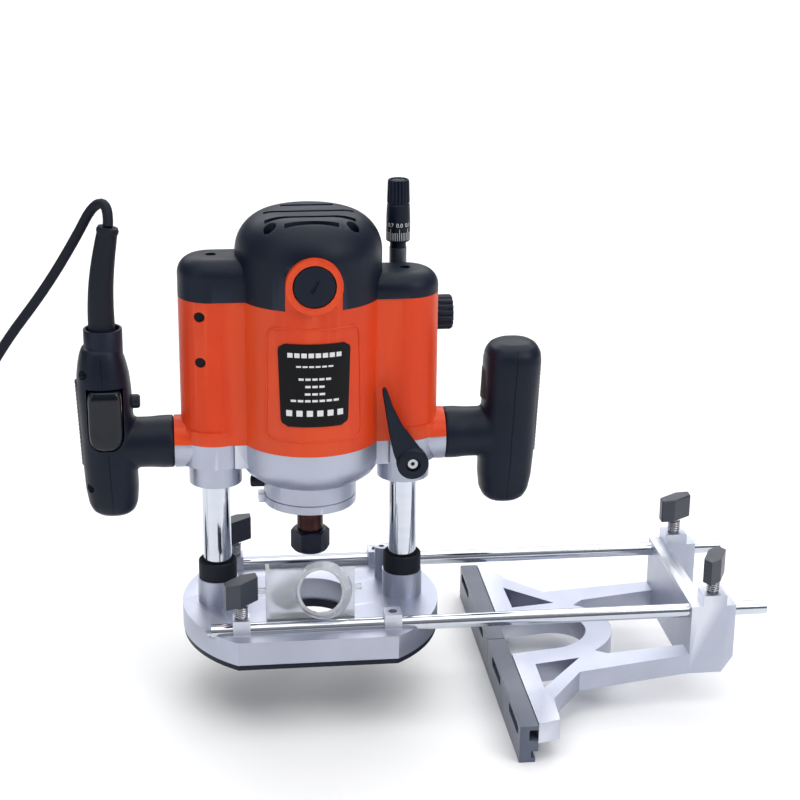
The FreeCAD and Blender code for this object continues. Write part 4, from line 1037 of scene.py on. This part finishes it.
def make_cord():
    """The mains cord from the sleeve's mouth to the plug, and its centre line."""
    route = [tuple(value * MM for value in point) for point in list(CORD_ROUTE) + coil_points()]
    route.append(tuple(value * MM for value in PLUG_ENTRY))
    curve = bpy.data.curves.new("cord_line", "CURVE")
    curve.dimensions = "3D"
    curve.resolution_u = 6
    spline = curve.splines.new("NURBS")
    spline.points.add(len(route) - 1)
    for knot, place in zip(spline.points, route):
        knot.co = (*place, 1)
    spline.order_u = 3
    spline.use_endpoint_u = True
    line = bpy.data.objects.new("cord_line", curve)
    bpy.context.collection.objects.link(line)
    bpy.context.view_layer.update()
    mesh = bpy.data.meshes.new_from_object(line)
    path = [tuple(vertex.co) for vertex in mesh.vertices]
    bpy.data.objects.remove(line)
    cord = tube("mains_cord", path, CORD_RADIUS, RUBBER, 16)
    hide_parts("power_cord", "cord_coil")
    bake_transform(cord)
    return cord, path


def make_plug():
    """The plug's moulding and its two round pins."""
    rings = [(0, 0, along, half, half) for along, half in PLUG_OUTLINE]
    shell = loft("plug_shell", rings, BLACK, power=2.3)
    low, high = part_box("power_plug")
    stand(shell, ((low.x + high.x) / 2, high.y, (low.z + high.z) / 2), QUARTER, "X")
    pins = []
    for side in (-1, 1):
        pin = turn_solid("pin", PIN_OUTLINE, STEEL, 32)
        pin.location.x = side * PIN_SIDE * MM
        pins.append(pin)
    prongs = join("plug_pins", pins)
    prongs.matrix_world = shell.matrix_world @ prongs.matrix_world
    settle(shell, "base", "black_plastic", "power_plug")
    settle(prongs, "base", "steel")
    return shell, prongs


def make_tie():
    """The hook-and-loop tie round one side of the coil, which holds its turns together."""
    radii = [turn[0] for turn in COIL_TURNS]
    inner = min(radii) - TIE_MARGIN
    outer = max(radii) + TIE_MARGIN
    outline = rounded_outline([(inner, TIE_LOW), (outer, TIE_LOW), (outer, TIE_SHOULDER[1]),
                               (TIE_SHOULDER[0], TIE_TOP), (inner, TIE_TOP)], 4)
    build = bmesh.new()
    rows = [[build.verts.new(((COIL_CENTRE[0] + along) * MM, (COIL_CENTRE[1] + reach) * MM,
                              height * MM)) for along in (-TIE_HALF_WIDTH, TIE_HALF_WIDTH)]
            for reach, height in outline]
    skin_grid(build, rows + rows[:1])
    bmesh.ops.recalc_face_normals(build, faces=build.faces)
    tie = build_object("cord_tie", build, GRIP_RUBBER)
    thicken(tie, TIE_THICKNESS, 50)
    return settle(tie, "base", "black_rubber")


def make_sleeve():
    """Strain relief: a smooth tapered rubber sleeve, slightly bowed, with a lip at its mouth."""
    start = Vector(SLEEVE_FOOT) * MM
    end = Vector(SLEEVE_MOUTH) * MM
    points = []
    steps = 120
    for index in range(steps + 1):
        share = index / steps
        bend = math.sin(share * math.pi) * SLEEVE_BOW * MM
        points.append(start.lerp(end, share) + Vector((bend, 0, 0)))

    def radius(share):
        if share > 0.955:
            return 7.5 if share < 0.99 else 6.9
        return 9.2 - 2.4 * share ** 1.8

    sleeve = tube("cord_sleeve", points, radius, RUBBER, 40)
    return settle(sleeve, "motor_head", "black_rubber", "strain_relief")


# ---------------------------------------------------------------- build
# The CAD nodes that are shown with rounded edges, and how wide the rounding is in millimetres.
EDGE_WIDTHS = {
    "base_casting": 0.9, "base_sole": 0.5, "lower_housing": 1.0, "motor_housing": 0.9,
    "motor_cap": 0.9, "tower_cap_left": 0.8, "tower_cap_right": 0.8, "collar_ring": 0.5,
    "guide_casting": 0.9, "fence_front": 0.5, "fence_back": 0.5, "collet_nut": 0.4,
    "chip_deflector": 0.5, "wing_knob_base_front": 1.1, "wing_knob_base_back": 1.1,
    "wing_knob_guide_front": 1.1, "wing_knob_guide_back": 1.1, "brush_caps": 0.5,
    "bump_rings": 0.5,
}

add_camera()
cord, cord_path = make_cord()
plug_shell, plug_pins = make_plug()
sleeve = make_sleeve()
tie = make_tie()

for node, source in frame["nodes"].items():
    source.data.materials.clear()
    source.data.materials.append(finish_of(node))
for node, width in EDGE_WIDTHS.items():
    polish(node, width)
make_handle("handle_right", 1)
make_handle("handle_left", -1)
for pad in PADS:
    make_pad(*pad)
make_trigger()
make_buttons()
make_lever()
make_micrometer()
make_side_knob()
make_dial()
make_springs()
make_plunge_springs()
make_ridge()
make_label()

add_world()
add_stage()
for light in LIGHTS:
    add_light(*light)
